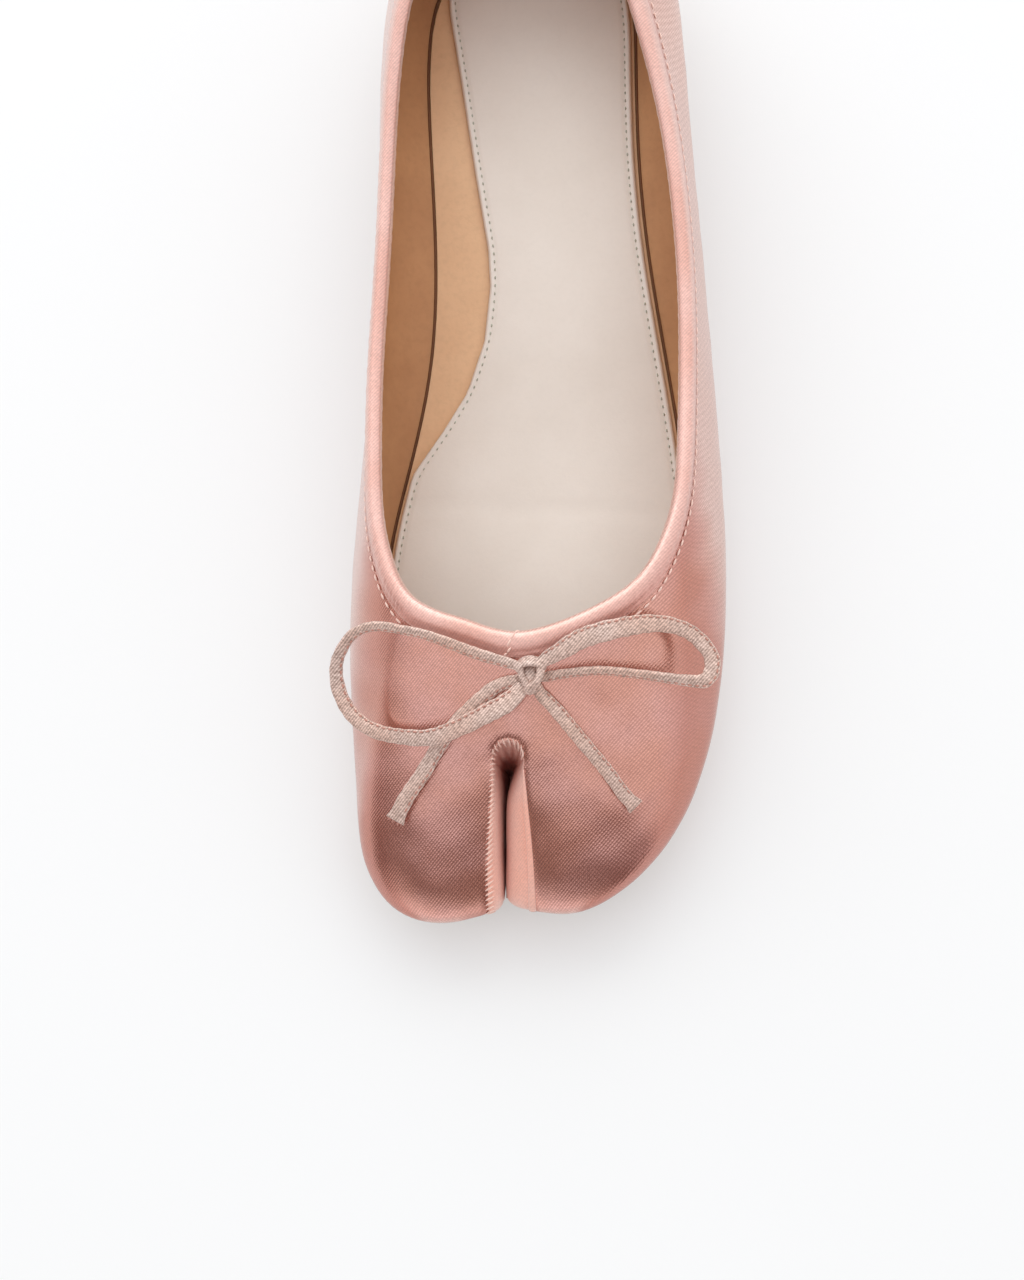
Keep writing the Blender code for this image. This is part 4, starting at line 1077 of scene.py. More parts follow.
# Broad swells of the cloth. Columns: length of the wave and its direction in degrees
SWELLS = ((0.019, 37.0), (0.013, 81.0), (0.027, 112.0))
SWELL_DEPTH = 0.00007
SWELL_RATIO = 1.4
GATHER_DEPTH = 0.0003
GATHER_REACH = 0.0008
GATHER_FADE = 0.004
GATHERS_ROUND = 11.0


def relief(points):
    """How far the satin sinks: gathers round the slit's arch and the listed creases."""
    across = points[..., 0] - LAST.middle(points[..., 1])
    behind = points[..., 1] - ARCH_PLACE
    away = np.clip(np.hypot(across, np.maximum(behind, 0.0)) - slit_half(points[..., 1]), 0.0, None)
    angle = np.arctan2(across, behind)
    round_arch = smooth_step(behind / GATHER_FADE + 1.0)
    gathers = 0.5 + 0.5 * np.cos(angle * GATHERS_ROUND)
    sunk = GATHER_DEPTH * gathers * np.exp(-away / GATHER_REACH) * round_arch
    for start, end, width, depth in CREASES:
        start = np.array(start)
        way = np.array(end) - start
        share = np.clip(((points - start) @ way) / (way @ way), 0.0, 1.0)
        off = np.linalg.norm(points - (start + share[..., None] * way), axis=-1)
        fade = np.sin(np.pi * np.clip(share, 0.02, 0.98)) ** 0.6
        sunk = sunk + hump(off, depth, width) * fade
    for size, turn in SWELLS:
        way = np.array([np.cos(np.radians(turn)), np.sin(np.radians(turn)), 0.6])
        other = np.array([-way[1], way[0], 0.4])
        wide = size * SWELL_RATIO
        wave = np.sin(points @ way * FULL_TURN / size) * np.sin(points @ other * FULL_TURN / wide)
        sunk = sunk + SWELL_DEPTH * (0.5 + 0.5 * wave)
    return sunk


def pressed(points, faces):
    """The outer skin's points with its relief pressed in along the surface's normals."""
    mesh = bpy.data.meshes.new("pressed")
    mesh.from_pydata([tuple(point) for point in points], [], faces)
    normals = np.array([tuple(normal.vector) for normal in mesh.vertex_normals])
    bpy.data.meshes.remove(mesh)
    return points - normals * relief(points)[:, None]


# Painted shade on the slit's walls: shares of the way down at which it starts, away from the arch and under
# it, the lengths of both changes, and how dark the painted shade gets at the bottom and on the pleats under
# the arch
SHADE_FROM = (0.5, 0.24)
SHADE_RUN = (0.3, 0.28)
DARKEST = 0.86
PLEAT_PAINTED_SHADE = 0.62
PLEAT_COLUMNS = 4.0
NEAR_ARCH_FROM = 0.66
NEAR_ARCH_RUN = 0.3


def fold_painted_shade(skin, count):
    """How much painted shade each point gets down inside the slit, from 0 to 1; soonest right under its
    arch, with painted shade on the pleats there.
    """
    columns, rows = skin.strip.shape[:2]
    lengths = lengths_along(skin.lips)
    way = np.minimum(lengths, lengths[-1] - lengths) / (lengths[-1] / 2.0)
    near_arch = smooth_step((way - NEAR_ARCH_FROM) / NEAR_ARCH_RUN)[:, None]
    share = (np.arange(rows) + 1.0)[None] / rows
    start, run = [away + (under - away) * near_arch for away, under in (SHADE_FROM, SHADE_RUN)]
    dark = smooth_step((share - start) / run) * DARKEST
    pleats = 0.5 + 0.5 * np.cos(np.arange(columns) * FULL_TURN / PLEAT_COLUMNS)[:, None]
    dark = np.maximum(dark, PLEAT_PAINTED_SHADE * pleats * near_arch ** 3 * np.sin(np.pi * share) ** 0.5)
    painted_shades = np.zeros(count)
    painted_shades[count - columns * rows:] = dark.ravel()
    return painted_shades


# Outline of the binding. Columns: outwards and upwards, as shares of half its thickness and height
BINDING_SECTION = (
    (0.66, -1.14), (0.86, -1.08), (0.95, -0.92), (0.90, -0.78), (1.02, -0.60), (1.12, -0.30),
    (1.13, 0.05), (1.06, 0.40), (0.86, 0.72), (0.52, 0.94), (0.10, 1.02), (-0.34, 0.99), (-0.72, 0.82),
    (-0.98, 0.52), (-1.10, 0.15), (-1.08, -0.25), (-0.98, -0.60), (-0.86, -0.90), (-0.66, -1.08),
    (-0.50, -0.98), (0.50, -0.98),
)
BINDING_STEP = 0.0011
BINDING_JOIN = 0.9976
JOIN_PINCH = 0.16
JOIN_WIDTH = 0.0009
# Puckers of the binding. Columns: depth, length, and how much and how fast their rhythm drifts
PUCKERS = ((0.00004, 0.0047, ((3.0, 61.0),)), (0.00003, 0.0029, ((2.0, 97.0),)))


def binding_mesh():
    """The padded roll round the collar, slightly puckered, with the groove of its seam."""
    places = np.linspace(0.0, 1.0, int(LAST.girth / BINDING_STEP), endpoint=False)
    up_place = top_places(places, BINDING_HEIGHT / 2.0)
    line = LAST.skin(places, up_place, UPPER_WALL / 2.0)
    normals = LAST.normal(places, up_place)
    ups = LAST.skin(places, up_place + 0.01, UPPER_WALL / 2.0) - line
    ups = unit(ups - normals * np.sum(ups * normals, axis=1, keepdims=True))
    section = np.array(BINDING_SECTION) * (BINDING_THICKNESS / 2.0, BINDING_HEIGHT / 2.0)
    girth = places * LAST.girth
    pucker = sum(unsteady(girth, *wave) for wave in PUCKERS)
    from_join = (np.mod(places - BINDING_JOIN + 0.5, 1.0) - 0.5) * LAST.girth
    pinch = hump(from_join, JOIN_PINCH, JOIN_WIDTH)
    points = []
    for index in range(len(places)):
        size = 1.0 + pucker[index] / (BINDING_THICKNESS / 2.0) - pinch[index]
        for outward, upward in section:
            points.append(line[index] + normals[index] * outward * size + ups[index] * upward)
    return points, tube_faces(0, len(places), len(section), closed=True)


# Painted shade at the foot of the binding, beside the satin
FOOT_SHADE_FROM = 0.55
FOOT_SHADE_RATE = 0.24
FOOT_DARKEST = 0.3


def binding_shade():
    """How much painted shade each point of the binding's section gets: its foot, beside the satin."""
    outward, upward = np.array(BINDING_SECTION).T
    shade = np.clip((FOOT_SHADE_FROM - upward) * FOOT_SHADE_RATE, 0.0, FOOT_DARKEST)
    return np.where(outward > 0.0, shade, 0.0)


JOIN_STITCH_RISE = 0.0002
JOIN_THREAD = 0.00028


def join_stitches(binding_points):
    """The short seam across the binding where its ends are joined."""
    rings = np.array(binding_points).reshape(-1, len(BINDING_SECTION), 3)
    first = int(round(BINDING_JOIN * len(rings))) % len(rings)
    lines = []
    for side in range(1, 13, 2):
        here = rings[(first + side // 3) % len(rings), side]
        beside = rings[(first + 1 + side // 3) % len(rings), side + 2]
        lines.append(np.array([here, (here + beside) / 2.0 + UPRIGHT * JOIN_STITCH_RISE, beside]))
    return threads(lines, JOIN_THREAD)


SEAM_BELOW_BINDING = 0.0015
SEAM_OUT = 0.00012
# Lengths left free at the start and the end, pitch, length of a stitch and number of its points
SEAM_STITCHES = (0.0, 0.0024, 0.0024, 0.0017, 4)
SEAM_THREAD = 0.00026
SEAM_STEP = 0.0008


def seam_round_collar():
    """Stitches on the satin, just outside the binding."""
    places = np.linspace(0.0, 1.0, int(LAST.girth / SEAM_STEP), endpoint=False)
    up_place = top_places(places, BINDING_HEIGHT + SEAM_BELOW_BINDING)
    line = LAST.skin(places, up_place, -SEAM_OUT)
    return threads(stitches_along(line, *SEAM_STITCHES), SEAM_THREAD)


WHIP_PITCH = 0.00125
WHIP_THREAD = 0.00028
WHIP_RISE = 0.00012
WHIP_START = 0.0004
WHIP_END = 0.002
# Shift of a stitch along the lip where it lies outside, on the lip and inside
WHIP_SLANT = (0.0004, 0.0001, -0.0003)


def whip_stitches(skin):
    """Slanted stitches over the lip of the slit, on its inner side and round its arch."""
    arch = skin.arch_row
    near = LIP_COLUMNS.index(0.0006)
    lip = skin.lips
    outside = np.concatenate([skin.columns[near, :arch + 1], skin.band[:, 1],
                              skin.columns[-1 - near, :arch + 1][::-1]])
    inside = skin.strip[:, 1]
    lengths = lengths_along(lip)
    at = np.arange(lengths[arch] + WHIP_START, lengths[-1] - WHIP_END, WHIP_PITCH)
    tracks = zip(WHIP_SLANT, (outside, lip, inside), (1.0, 2.0, 0.0))
    lines = [between(at + slant, lengths, track) + UPRIGHT * WHIP_RISE * rises
             for slant, track, rises in tracks]
    return threads(np.stack(lines, axis=1), WHIP_THREAD)


FOLD_RADIUS = 0.00055
FOLD_RISE = 0.00005
# Shares of the way along the fold and its width there, as a share of its radius
FOLD_WIDTHS = ((0.0, 0.3, 0.85, 1.0), (1.9, 1.4, 0.9, 0.3))
BASE_BEFORE_ARCH = 0.014
BASE_PAST_ARCH = 0.002
BASE_HALF_WIDTH = 0.0014
BASE_RISE = 0.0002


def slit_fold(skin):
    """The folded edge of the satin along the slit's outer lip, rounder and wider at the front."""
    lip = skin.lips[3:skin.arch_row - 2] + UPRIGHT * FOLD_RISE
    line = resampled(lip, np.linspace(0.0, lengths_along(lip)[-1], 70))
    section = oval(12, FOLD_RADIUS, FOLD_RADIUS * 0.6)
    widths = np.interp(np.linspace(0.0, 1.0, len(line)), *FOLD_WIDTHS)
    return swept(line, widths, section, UPRIGHT)


def slit_base():
    """A short strip of satin that closes the bottom of the slit under its arch, painted in the darkest
    painted shade.
    """
    along = np.linspace(ARCH_PLACE - BASE_BEFORE_ARCH, ARCH_PLACE + BASE_PAST_ARCH, 12)
    line = np.column_stack([LAST.middle(along) - SLIT_LEAN, along, feather_height(along) + BASE_RISE])
    section = np.array([(1.0, 0.0), (0.0, 0.1), (-1.0, 0.0), (0.0, -0.1)]) * BASE_HALF_WIDTH
    return swept(line, np.ones(len(line)), section, UPRIGHT)


# The sock

SOCK_UNDER = GAP + INSOLE_THICKNESS + GAP
SOCK_EDGE_RADIUS = 0.0008
SOCK_STITCH_INSET = 0.0015
SOCK_STITCH_SINK = 0.00012
SOCK_THREAD = 0.0002
# Lengths left free at the start and the end, pitch and length of a stitch
SOCK_STITCHES = (0.002, 0.003, 0.0019, 0.0008)
SOCK_CREASE_AT = 0.0985
SOCK_TOE_WIDTH = 0.15
SOCK_BACK_GAP = 0.0002
# Each a height or depth, with the length over which it rises or fades
SOCK_CROWN = (0.0004, 0.02)
SOCK_GROOVE = (0.00022, 0.0005)
SOCK_CREASE = (0.00022, 0.0011)


def sock_edges(skin, alongs):
    """Across places of the sock's outer and inner edges."""
    outline = pushed(level_loop(skin, INSOLE_THICKNESS), -(INSOLE_CLEARANCE + SOCK_MARGIN))
    front = SOCK_FRONT * SHOE_LENGTH
    cut_along, cut_across = (np.array(SOCK_CUT_IN) * (SHOE_LENGTH, BALL_WIDTH)).T
    back = outline[:, 1].max()
    outer_side = []
    inner_side = []
    for along in front + (back - SOCK_BACK_GAP - front) * alongs:
        right = rail(outline, along, 1)
        left = rail(outline, along, -1)
        if cut_along[0] < along < cut_along[-1]:
            left = max(left, float(np.interp(along, cut_along, cut_across)))
        share = (along - front) / SOCK_TOE_ROUNDING
        if share < 1.0:
            round_toe = np.sqrt(max(0.0, 1.0 - (1.0 - share) ** 2))
            narrow = SOCK_TOE_WIDTH + (1.0 - SOCK_TOE_WIDTH) * round_toe
            middle = (left + right) / 2.0
            left = middle + (left - middle) * narrow
            right = middle + (right - middle) * narrow
        outer_side.append((right, along))
        inner_side.append((left, along))
    return np.array(outer_side), np.array(inner_side)


INSOLE_EDGE_RADIUS = 0.00032
INSOLE_EDGE_IN = 0.00025
INSOLE_EDGE_STEPS = 400


def insole_gap_shade(skin):
    """A dark strip along the insole's edge: painted shade for the gap where the insole meets the lining,
    seen as a line along the foot of the lining.
    """
    loop = pushed(level_loop(skin, INSOLE_THICKNESS), -INSOLE_EDGE_IN)
    loop = np.vstack([loop, loop[:1]])
    at = np.linspace(0.0, lengths_along(loop)[-1], INSOLE_EDGE_STEPS, endpoint=False)
    loop = resampled(loop, at)
    line = np.column_stack([loop, sole_top(loop[:, 1]) + GAP + INSOLE_THICKNESS])
    section = oval(8, INSOLE_EDGE_RADIUS, INSOLE_EDGE_RADIUS)
    return swept(line, np.ones(len(line)), section, UPRIGHT, closed=True)


def softened(line, times):
    """A line of points with its corners rounded."""
    line = line.copy()
    for _ in range(times):
        line[1:-1] = (line[:-2] + 2.0 * line[1:-1] + line[2:]) / 4.0
    return line


def sock_mesh(outer_side, inner_side):
    """The padded sock: crowned, with rounded edges, a sewn groove and a soft cross crease."""
    shares = crowded_ends(61)
    top = inner_side[:, None] + (outer_side - inner_side)[:, None] * shares[:, None]
    width = np.linalg.norm(outer_side - inner_side, axis=1)
    edge = np.minimum(shares, 1.0 - shares)[None] * width[:, None]
    edge = np.minimum(edge, np.maximum(top[..., 1] - top[0, :, 1].min(), 0.0))
    edge = np.minimum(edge, np.maximum(top[..., 1].max() - top[..., 1], 0.0))
    rounding = np.sqrt(1.0 - (1.0 - np.clip(edge / SOCK_EDGE_RADIUS, 0.0, 1.0)) ** 2)
    crown = SOCK_CROWN[0] * smooth_step(edge / SOCK_CROWN[1])
    crease_at = SOCK_CREASE_AT - (top[..., 0] + 0.004) * 0.06
    dents = hump(edge - SOCK_STITCH_INSET, *SOCK_GROOVE) + hump(top[..., 1] - crease_at, *SOCK_CREASE)
    height = SOCK_THICKNESS * (0.25 + 0.75 * rounding) + crown - dents * rounding
    height = height + sole_top(top[..., 1]) + SOCK_UNDER
    points = np.concatenate([top, height[..., None]], axis=-1).reshape(-1, 3)
    numbers = np.arange(len(points)).reshape(height.shape)
    rim = np.concatenate([numbers[:, 0], numbers[-1, 1:], numbers[-2::-1, -1], numbers[0, -2::-1]])
    below = points[rim]
    below[:, 2] = sole_top(below[:, 1]) + SOCK_UNDER
    walls = np.column_stack([rim, len(points) + np.arange(len(rim)) % (len(rim) - 1)])
    return np.concatenate([points, below[:-1]]), grid_faces(numbers.T) + grid_faces(walls)


def sock_stitches(outer_side, inner_side):
    """Small stitches a little inside the sock's edge."""
    rim = np.concatenate([inner_side[::-1], outer_side])
    ahead = np.gradient(rim, axis=0)
    inward = unit(np.stack([-ahead[:, 1], ahead[:, 0]], axis=1))
    line = softened(rim + inward * SOCK_STITCH_INSET, 4)
    height = sole_top(line[:, 1]) + SOCK_UNDER + SOCK_THICKNESS - SOCK_STITCH_SINK
    return threads(stitches_along(np.column_stack([line, height]), *SOCK_STITCHES), SOCK_THREAD)


# The bow

RIBBON_SECTION = (
    (1.00, 0.00), (0.985, 0.50), (0.90, 0.85), (0.80, 0.82), (0.71, 0.60), (0.62, 0.82), (0.40, 1.00),
    (0.10, 1.05), (-0.20, 1.00), (-0.50, 0.94), (-0.80, 0.78), (-0.95, 0.45), (-1.00, 0.00),
    (-0.90, -0.60), (-0.50, -0.80), (0.00, -0.85), (0.50, -0.80), (0.90, -0.60),
)

# How each ribbon turns along its route. Columns: share of the route, width and thickness as shares
# of the ribbon's own, and roll in degrees
TURNS_LOOP_MEDIAL = (
    (0.00, 0.62, 0.75, 20.0),
    (0.10, 0.80, 0.50, 25.0),
    (0.28, 0.66, 0.60, 40.0),
    (0.42, 0.80, 0.60, 30.0),
    (0.54, 1.00, 0.55, -10.0),
    (0.68, 1.05, 0.50, -20.0),
    (0.84, 1.22, 0.46, -10.0),
    (0.95, 1.30, 0.48, 0.0),
    (1.00, 0.90, 0.60, 0.0),
)
TURNS_LOOP_LATERAL = (
    (0.00, 0.75, 0.70, -10.0),
    (0.10, 1.30, 0.48, -12.0),
    (0.25, 1.32, 0.45, -10.0),
    (0.38, 1.05, 0.50, -10.0),
    (0.48, 1.05, 0.55, 10.0),
    (0.56, 1.05, 0.60, 20.0),
    (0.64, 0.75, 0.65, 35.0),
    (0.85, 0.60, 0.70, 40.0),
    (1.00, 0.70, 0.60, 20.0),
)
TURNS_TAIL_MEDIAL = (
    (0.00, 0.80, 0.60, 0.0),
    (0.25, 1.00, 0.50, 6.0),
    (0.60, 1.05, 0.45, -6.0),
    (0.92, 1.10, 0.40, 0.0),
    (1.00, 1.30, 0.28, 0.0),
)
TURNS_TAIL_LATERAL = (
    (0.00, 0.75, 0.60, 0.0),
    (0.20, 0.95, 0.50, 8.0),
    (0.60, 0.92, 0.48, -5.0),
    (0.92, 0.95, 0.42, 0.0),
    (1.00, 1.20, 0.28, 0.0),
)


# Waves along a ribbon, as the puckers of the binding; their sizes are shares of its own
RIBBON_EDGE_WAVE = (0.035, 0.0034, ((1.7, 510.0),))
RIBBON_RIPPLE = (0.09, 0.0026, ((2.6, 830.0), (1.4, 377.0)))
RIBBON_STEP = 0.0003
SEWN_POINT = 4


def ribbon_mesh(route, turns):
    """A flat ribbon along a route, with its points, faces, middle line and sewn edge."""
    count = int(lengths_along(route)[-1] / RIBBON_STEP)
    line = smooth_line(route, count)
    shares = np.linspace(0.0, 1.0, count)
    rows = smooth_line([(row[0], row[1], row[2] + 1e-3 * row[3]) for row in turns], 200)
    wide = np.interp(shares, rows[:, 0], rows[:, 1])
    table = np.array(turns)
    thick = np.interp(shares, table[:, 0], table[:, 2])
    roll = np.radians(np.interp(shares, table[:, 0], table[:, 3]))
    ahead = unit(np.gradient(line, axis=0))
    side = unit(np.cross(UPRIGHT, ahead))
    up = np.cross(ahead, side)
    ups = up * np.cos(roll)[:, None] + side * np.sin(roll)[:, None]
    run = shares * lengths_along(line)[-1]
    across = RIBBON_WIDTH / 2.0 * (1.0 + unsteady(run, *RIBBON_EDGE_WAVE))
    upwards = thick * RIBBON_THICKNESS / 2.0 * (1.0 + unsteady(run, *RIBBON_RIPPLE))
    section = np.array(RIBBON_SECTION)[None] * np.stack([across, upwards], axis=1)[:, None]
    points, faces = swept(line, wide, section, ups)
    return points, faces, line, points.reshape(count, -1, 3)[:, SEWN_POINT]


RIBBON_THREAD = 0.0002
RIBBON_THREAD_RISE = 0.00022
# Lengths left free at the start and the end, pitch and length of a stitch
RIBBON_STITCHES = (0.003, 0.003, 0.0016, 0.001)


def ribbon_stitches(sewn):
    """Stitches along a ribbon's sewn edge."""
    return stitches_along(sewn + UPRIGHT * RIBBON_THREAD_RISE, *RIBBON_STITCHES)


FRAY_STRANDS = 9
FRAY_START = 0.0006
# Mean and change, of the strands' reach past the ribbon and of their bend to the side
FRAY_REACH = (0.0010, 0.0005)
FRAY_BEND = (0.0005, 0.0002)


def frayed_end(line, width):
    """Loose threads at a ribbon's cut end."""
    ahead = unit(line[-1] - line[-7])
    side = np.cross(UPRIGHT, ahead)
    strands = []
    for index, share in enumerate(np.linspace(-1.0, 1.0, FRAY_STRANDS)):
        start = line[-1] + side * share * width / 2.0 - ahead * FRAY_START
        reach = FRAY_REACH[0] + FRAY_REACH[1] * np.sin(index * 2.4)
        bend = side * (share * FRAY_BEND[0] + FRAY_BEND[1] * np.cos(index * 1.9))
        middle = start + ahead * reach * 0.6 + bend * 0.4
        strands.append(np.array([start, middle, start + ahead * reach + bend]))
    return strands


# The knot's strands, the uppermost last. Columns: across, along towards the heel and up from the
# knot's middle, then the strand's width, in thousandths of a metre
KNOT_FOLDS = (
    (
        (-1.2, 3.0, 0.9, 1.5),
        (-2.0, 1.6, 1.7, 1.6),
        (-1.9, -0.1, 1.8, 1.4),
        (-1.0, -2.0, 1.4, 1.5),
        (0.1, -3.3, 0.6, 1.8),
        (0.6, -3.9, -0.2, 1.8),
    ),
    (
        (1.2, 3.0, 0.9, 1.6),
        (2.2, 1.5, 1.8, 1.8),
        (2.2, -0.3, 1.9, 1.7),
        (1.3, -2.1, 1.7, 1.7),
        (-0.1, -3.2, 1.2, 2.0),
        (-0.9, -3.9, 0.0, 2.0),
    ),
    (
        (-2.9, 1.2, 0.2, 2.0),
        (-2.0, 2.2, 1.5, 2.6),
        (-0.7, 2.6, 2.3, 3.0),
        (0.7, 2.6, 2.4, 3.0),
        (2.1, 2.2, 1.7, 2.6),
        (3.0, 1.2, 0.3, 2.0),
    ),
)
KNOT_HEART = (2.3, 3.2, 1.5)
KNOT_STRAND = 0.34
KNOT_STEPS = 48


def knot_parts(surface):
    """The knot: a sunken heart, two strands that cross below it and a strap over its top."""
    place = np.array([KNOT_PLACE[0] * BALL_WIDTH, KNOT_PLACE[1] * SHOE_LENGTH, 0.0])
    place[2] = surface(place[0], place[1]) + KNOT_SIZE[2] / 2.0 + GAP
    section = np.array(RIBBON_SECTION) * (RIBBON_WIDTH / 2.0, RIBBON_THICKNESS * KNOT_STRAND)
    points = []
    faces = []
    for fold in KNOT_FOLDS:
        rows = np.array(fold) / 1000.0
        line = smooth_line(rows[:, :3], KNOT_STEPS)
        shares = np.linspace(0.0, 1.0, len(rows))
        widths = np.interp(np.linspace(0.0, 1.0, KNOT_STEPS), shares, rows[:, 3]) / RIBBON_WIDTH
        ups = unit(line * (0.45, 0.45, 0.0) + (0.0, 0.0, 0.0014))
        fold_points, fold_faces = swept(line + place, widths, section, ups)
        faces += [tuple(vertex + len(points) for vertex in face) for face in fold_faces]
        points += list(fold_points)
    first = len(points)
    turns = 40
    rings = 24
    for ring in range(rings + 1):
        polar = np.pi * (0.02 + 0.96 * ring / rings)
        for turn in np.arange(turns) * FULL_TURN / turns:
            way = np.array([np.sin(polar) * np.cos(turn), np.cos(polar), np.sin(polar) * np.sin(turn)])
            crease = 1.0 - hump(way[0] + way[1] * 0.45, 0.10, 0.16) * (way[2] > 0.0)
            points.append(place + way * np.array(KNOT_HEART) / 1000.0 * crease)
    return points, faces + tube_faces(first, rings + 1, turns, inside_out=True)


# The room

def area_light(name, place, size, power):
    data = bpy.data.lights.new(name, "AREA")
    data.shape = "RECTANGLE"
    data.size, data.size_y = size
    data.energy = power
    light = put_in_scene(name, data)
    light.location = place
    light.rotation_mode = "QUATERNION"
    light.rotation_quaternion = (-Vector(place)).to_track_quat("-Z", "Y")
    return light


# The sky. Columns: share of the way from straight up or behind to low in front, then the colour
SKY_STOPS = (
    (0.00, (1.04, 1.03, 1.03)),
    (0.40, (0.99, 0.97, 0.98)),
    (0.55, (0.95, 0.90, 0.92)),
    (0.68, (0.16, 0.06, 0.04)),
    (0.82, (0.15, 0.06, 0.04)),
    (0.92, (0.88, 0.82, 0.81)),
    (1.00, (1.20, 1.16, 1.16)),
)
# How far the dark band turns towards the inner side, and from which direction on
BAND_TURN = 0.6
BAND_TURN_FROM = 0.14


def light_room():
    """A bright sky with a dark band in front of the toe, a soft light from behind and a window."""
    world = bpy.data.worlds.new("room")
    bpy.context.scene.world = world
    world.use_nodes = True
    sky = Nodes(world.node_tree)
    apart = sky.node("SeparateXYZ", {"Vector": sky.node("TexCoord").outputs["Generated"]})
    inner_side = sky.maths("MULTIPLY", apart.outputs["X"], -BAND_TURN)
    inner_side = sky.maths("MAXIMUM", sky.maths("SUBTRACT", inner_side, BAND_TURN_FROM), 0.0)
    front = sky.maths("SUBTRACT", inner_side, apart.outputs["Y"])
    ramp = sky.node("ValToRGB", {"Fac": front})
    while len(ramp.color_ramp.elements) < len(SKY_STOPS):
        ramp.color_ramp.elements.new(0.5)
    for element, (position, bright) in zip(ramp.color_ramp.elements, SKY_STOPS):
        element.position = position
        element.color = (*bright, 1.0)
    background = sky.tree.nodes["Background"]
    sky.tree.links.new(ramp.outputs["Color"], background.inputs["Color"])
    background.inputs["Strength"].default_value = 1.0
    overhead = area_light("overhead", (0.45, 0.80, 1.1), (1.2, 1.2), 2.0)
    overhead.visible_glossy = False
    area_light("window", (-0.25, 1.1, 0.9), (2.0, 1.1), 10.0)


# How bright the floor is by itself, which keeps the shadow round the shoe soft and pale
FLOOR_GLOW = 0.36


def lay_floor():
    mesh = bpy.data.meshes.new("floor")
    half = 12.0
    mesh.from_pydata([(-half, -half, 0.0), (half, -half, 0.0), (half, half, 0.0), (-half, half, 0.0)],
                     [], [(0, 1, 2, 3)])
    finish = Finish("floor", 0.9, Specular_IOR_Level=0.1, Emission_Color=(1.0, 1.0, 1.0, 1.0),
                    Emission_Strength=FLOOR_GLOW)
    finish.paint(finish.mix(finish.noise(0.6), tone(192, 195, 196), tone(193, 196, 197)))
    mesh.materials.append(finish.material)
    put_in_scene("floor", mesh)


bpy.context.scene.view_settings.view_transform = "Standard"
place_camera()
light_room()
lay_floor()

# The upper, with its lining
outer_skin = Skin(0.0)
inner_skin = Skin(UPPER_WALL)
outer_points, outer_faces, fold_from = outer_skin.mesh()
outer_points = pressed(outer_points, outer_faces)
inner_points, inner_faces, _ = inner_skin.mesh()
inner_faces = [tuple(reversed(face)) for face in inner_faces]
satin_piece = add_piece("upper_satin", outer_points, outer_faces, FINISHES["satin"], "pink_satin", ["upper"])
# The slit's walls take the lighter fold satin, as painted light
satin_piece.data.materials.append(FINISHES["fold"])
for polygon in satin_piece.data.polygons[fold_from:]:
    polygon.material_index = 1
# Painted shade down inside the slit and on the pleats under its arch
shade_points(satin_piece, fold_painted_shade(outer_skin, len(outer_points)))
add_piece("upper_lining", inner_points, inner_faces, FINISHES["lining"], "tan_leather")

# The binding and the stitches
binding_points, binding_faces = binding_mesh()
binding = add_piece("binding_roll", binding_points, binding_faces, FINISHES["binding"], "pink_binding",
                    ["topline_binding"])
# Painted shade at the binding's foot
shade_points(binding, np.tile(binding_shade(), len(binding_points) // len(BINDING_SECTION)))
add_piece("binding_stitches", *seam_round_collar(), FINISHES["seam"], "pink_binding")
add_piece("binding_join", *join_stitches(binding_points), FINISHES["seam"], "pink_binding")
add_piece("slit_stitches", *whip_stitches(outer_skin), FINISHES["seam"], "pink_satin")
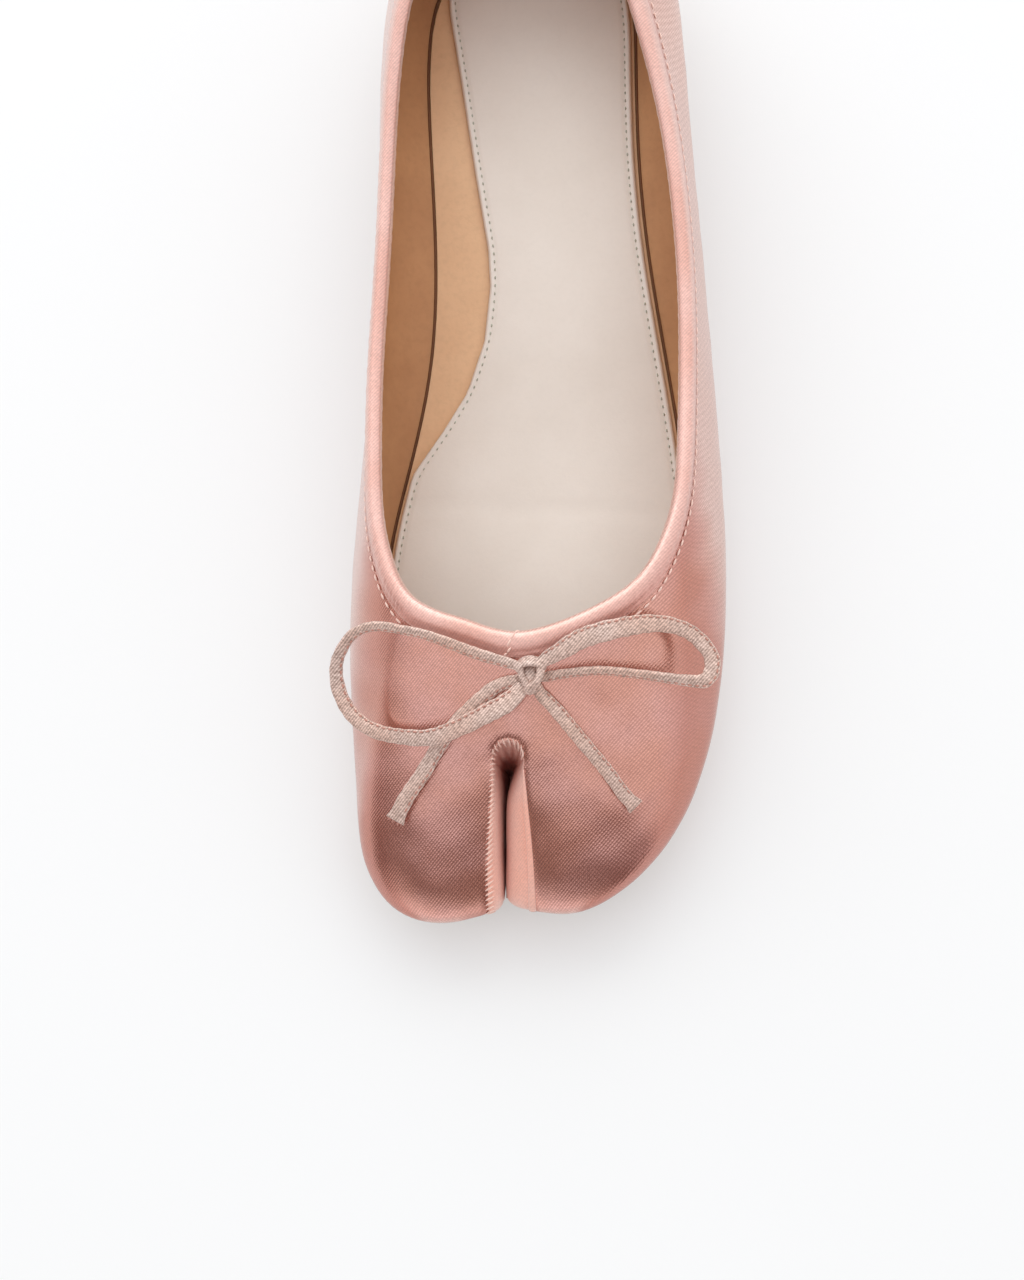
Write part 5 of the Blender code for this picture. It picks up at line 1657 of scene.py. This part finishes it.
# The folded lip takes the lighter fold satin, as painted light along the lip
add_piece("slit_fold", *slit_fold(outer_skin), FINISHES["fold"], "pink_satin")
base_points, base_faces = slit_base()
base_piece = add_piece("slit_base", base_points, base_faces, FINISHES["fold"], "pink_satin")
# Painted shade: the strip is painted fully dark
shade_points(base_piece, np.full(len(base_points), DARKEST))

# The sock
outer_side, inner_side = sock_edges(inner_skin, crowded_ends(140))
sock_pad = add_piece("sock_pad", *sock_mesh(outer_side, inner_side), FINISHES["sock"], "cream_leather",
                     ["sock"])
add_piece("sock_stitches", *sock_stitches(outer_side, inner_side), FINISHES["sock_seam"], "cream_leather")
# Painted shade along the gap where the insole meets the lining
add_piece("insole_gap_shade", *insole_gap_shade(inner_skin), FINISHES["gap_shade"], "tan_leather")

# The bow
surface_height = height_over([(outer_points, outer_faces), (binding_points, binding_faces)])
knot = add_piece("knot_wrap", *knot_parts(surface_height), FINISHES["ribbon"], "pink_ribbon", ["bow_knot"])
BOW_PIECES = (
    ("loop_medial", BOW_LOOP_MEDIAL, TURNS_LOOP_MEDIAL, "object"),
    ("loop_lateral", BOW_LOOP_LATERAL, TURNS_LOOP_LATERAL, "object"),
    ("tail_medial", BOW_TAIL_MEDIAL, TURNS_TAIL_MEDIAL, "bare"),
    ("tail_lateral", BOW_TAIL_LATERAL, TURNS_TAIL_LATERAL, "bare"),
)
for name, table, turns, far_end in BOW_PIECES:
    route = ribbon_route(tucked(table, far_end == "object"), surface_height)
    points, faces, line, sewn = ribbon_mesh(route, turns)
    ribbon = add_piece("ribbon_" + name, points, faces, FINISHES["ribbon"], "pink_ribbon", ["bow_" + name])
    strands = ribbon_stitches(sewn)
    if far_end == "bare":
        strands += frayed_end(line, RIBBON_WIDTH)
    stitches = add_piece("stitches_" + name, *threads(strands, RIBBON_THREAD), FINISHES["ribbon_seam"],
                         "pink_ribbon")
    path = [tuple(Vector(place) + SHIFT) for place in line]
    lengths_along(line)[-1]

# The pieces that keep their own shape
for node, finish_name in (("insole", "insole"), ("outsole", "sole"), ("heel", "heel")):
    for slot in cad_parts[node].material_slots:
        slot.material = FINISHES[finish_name]
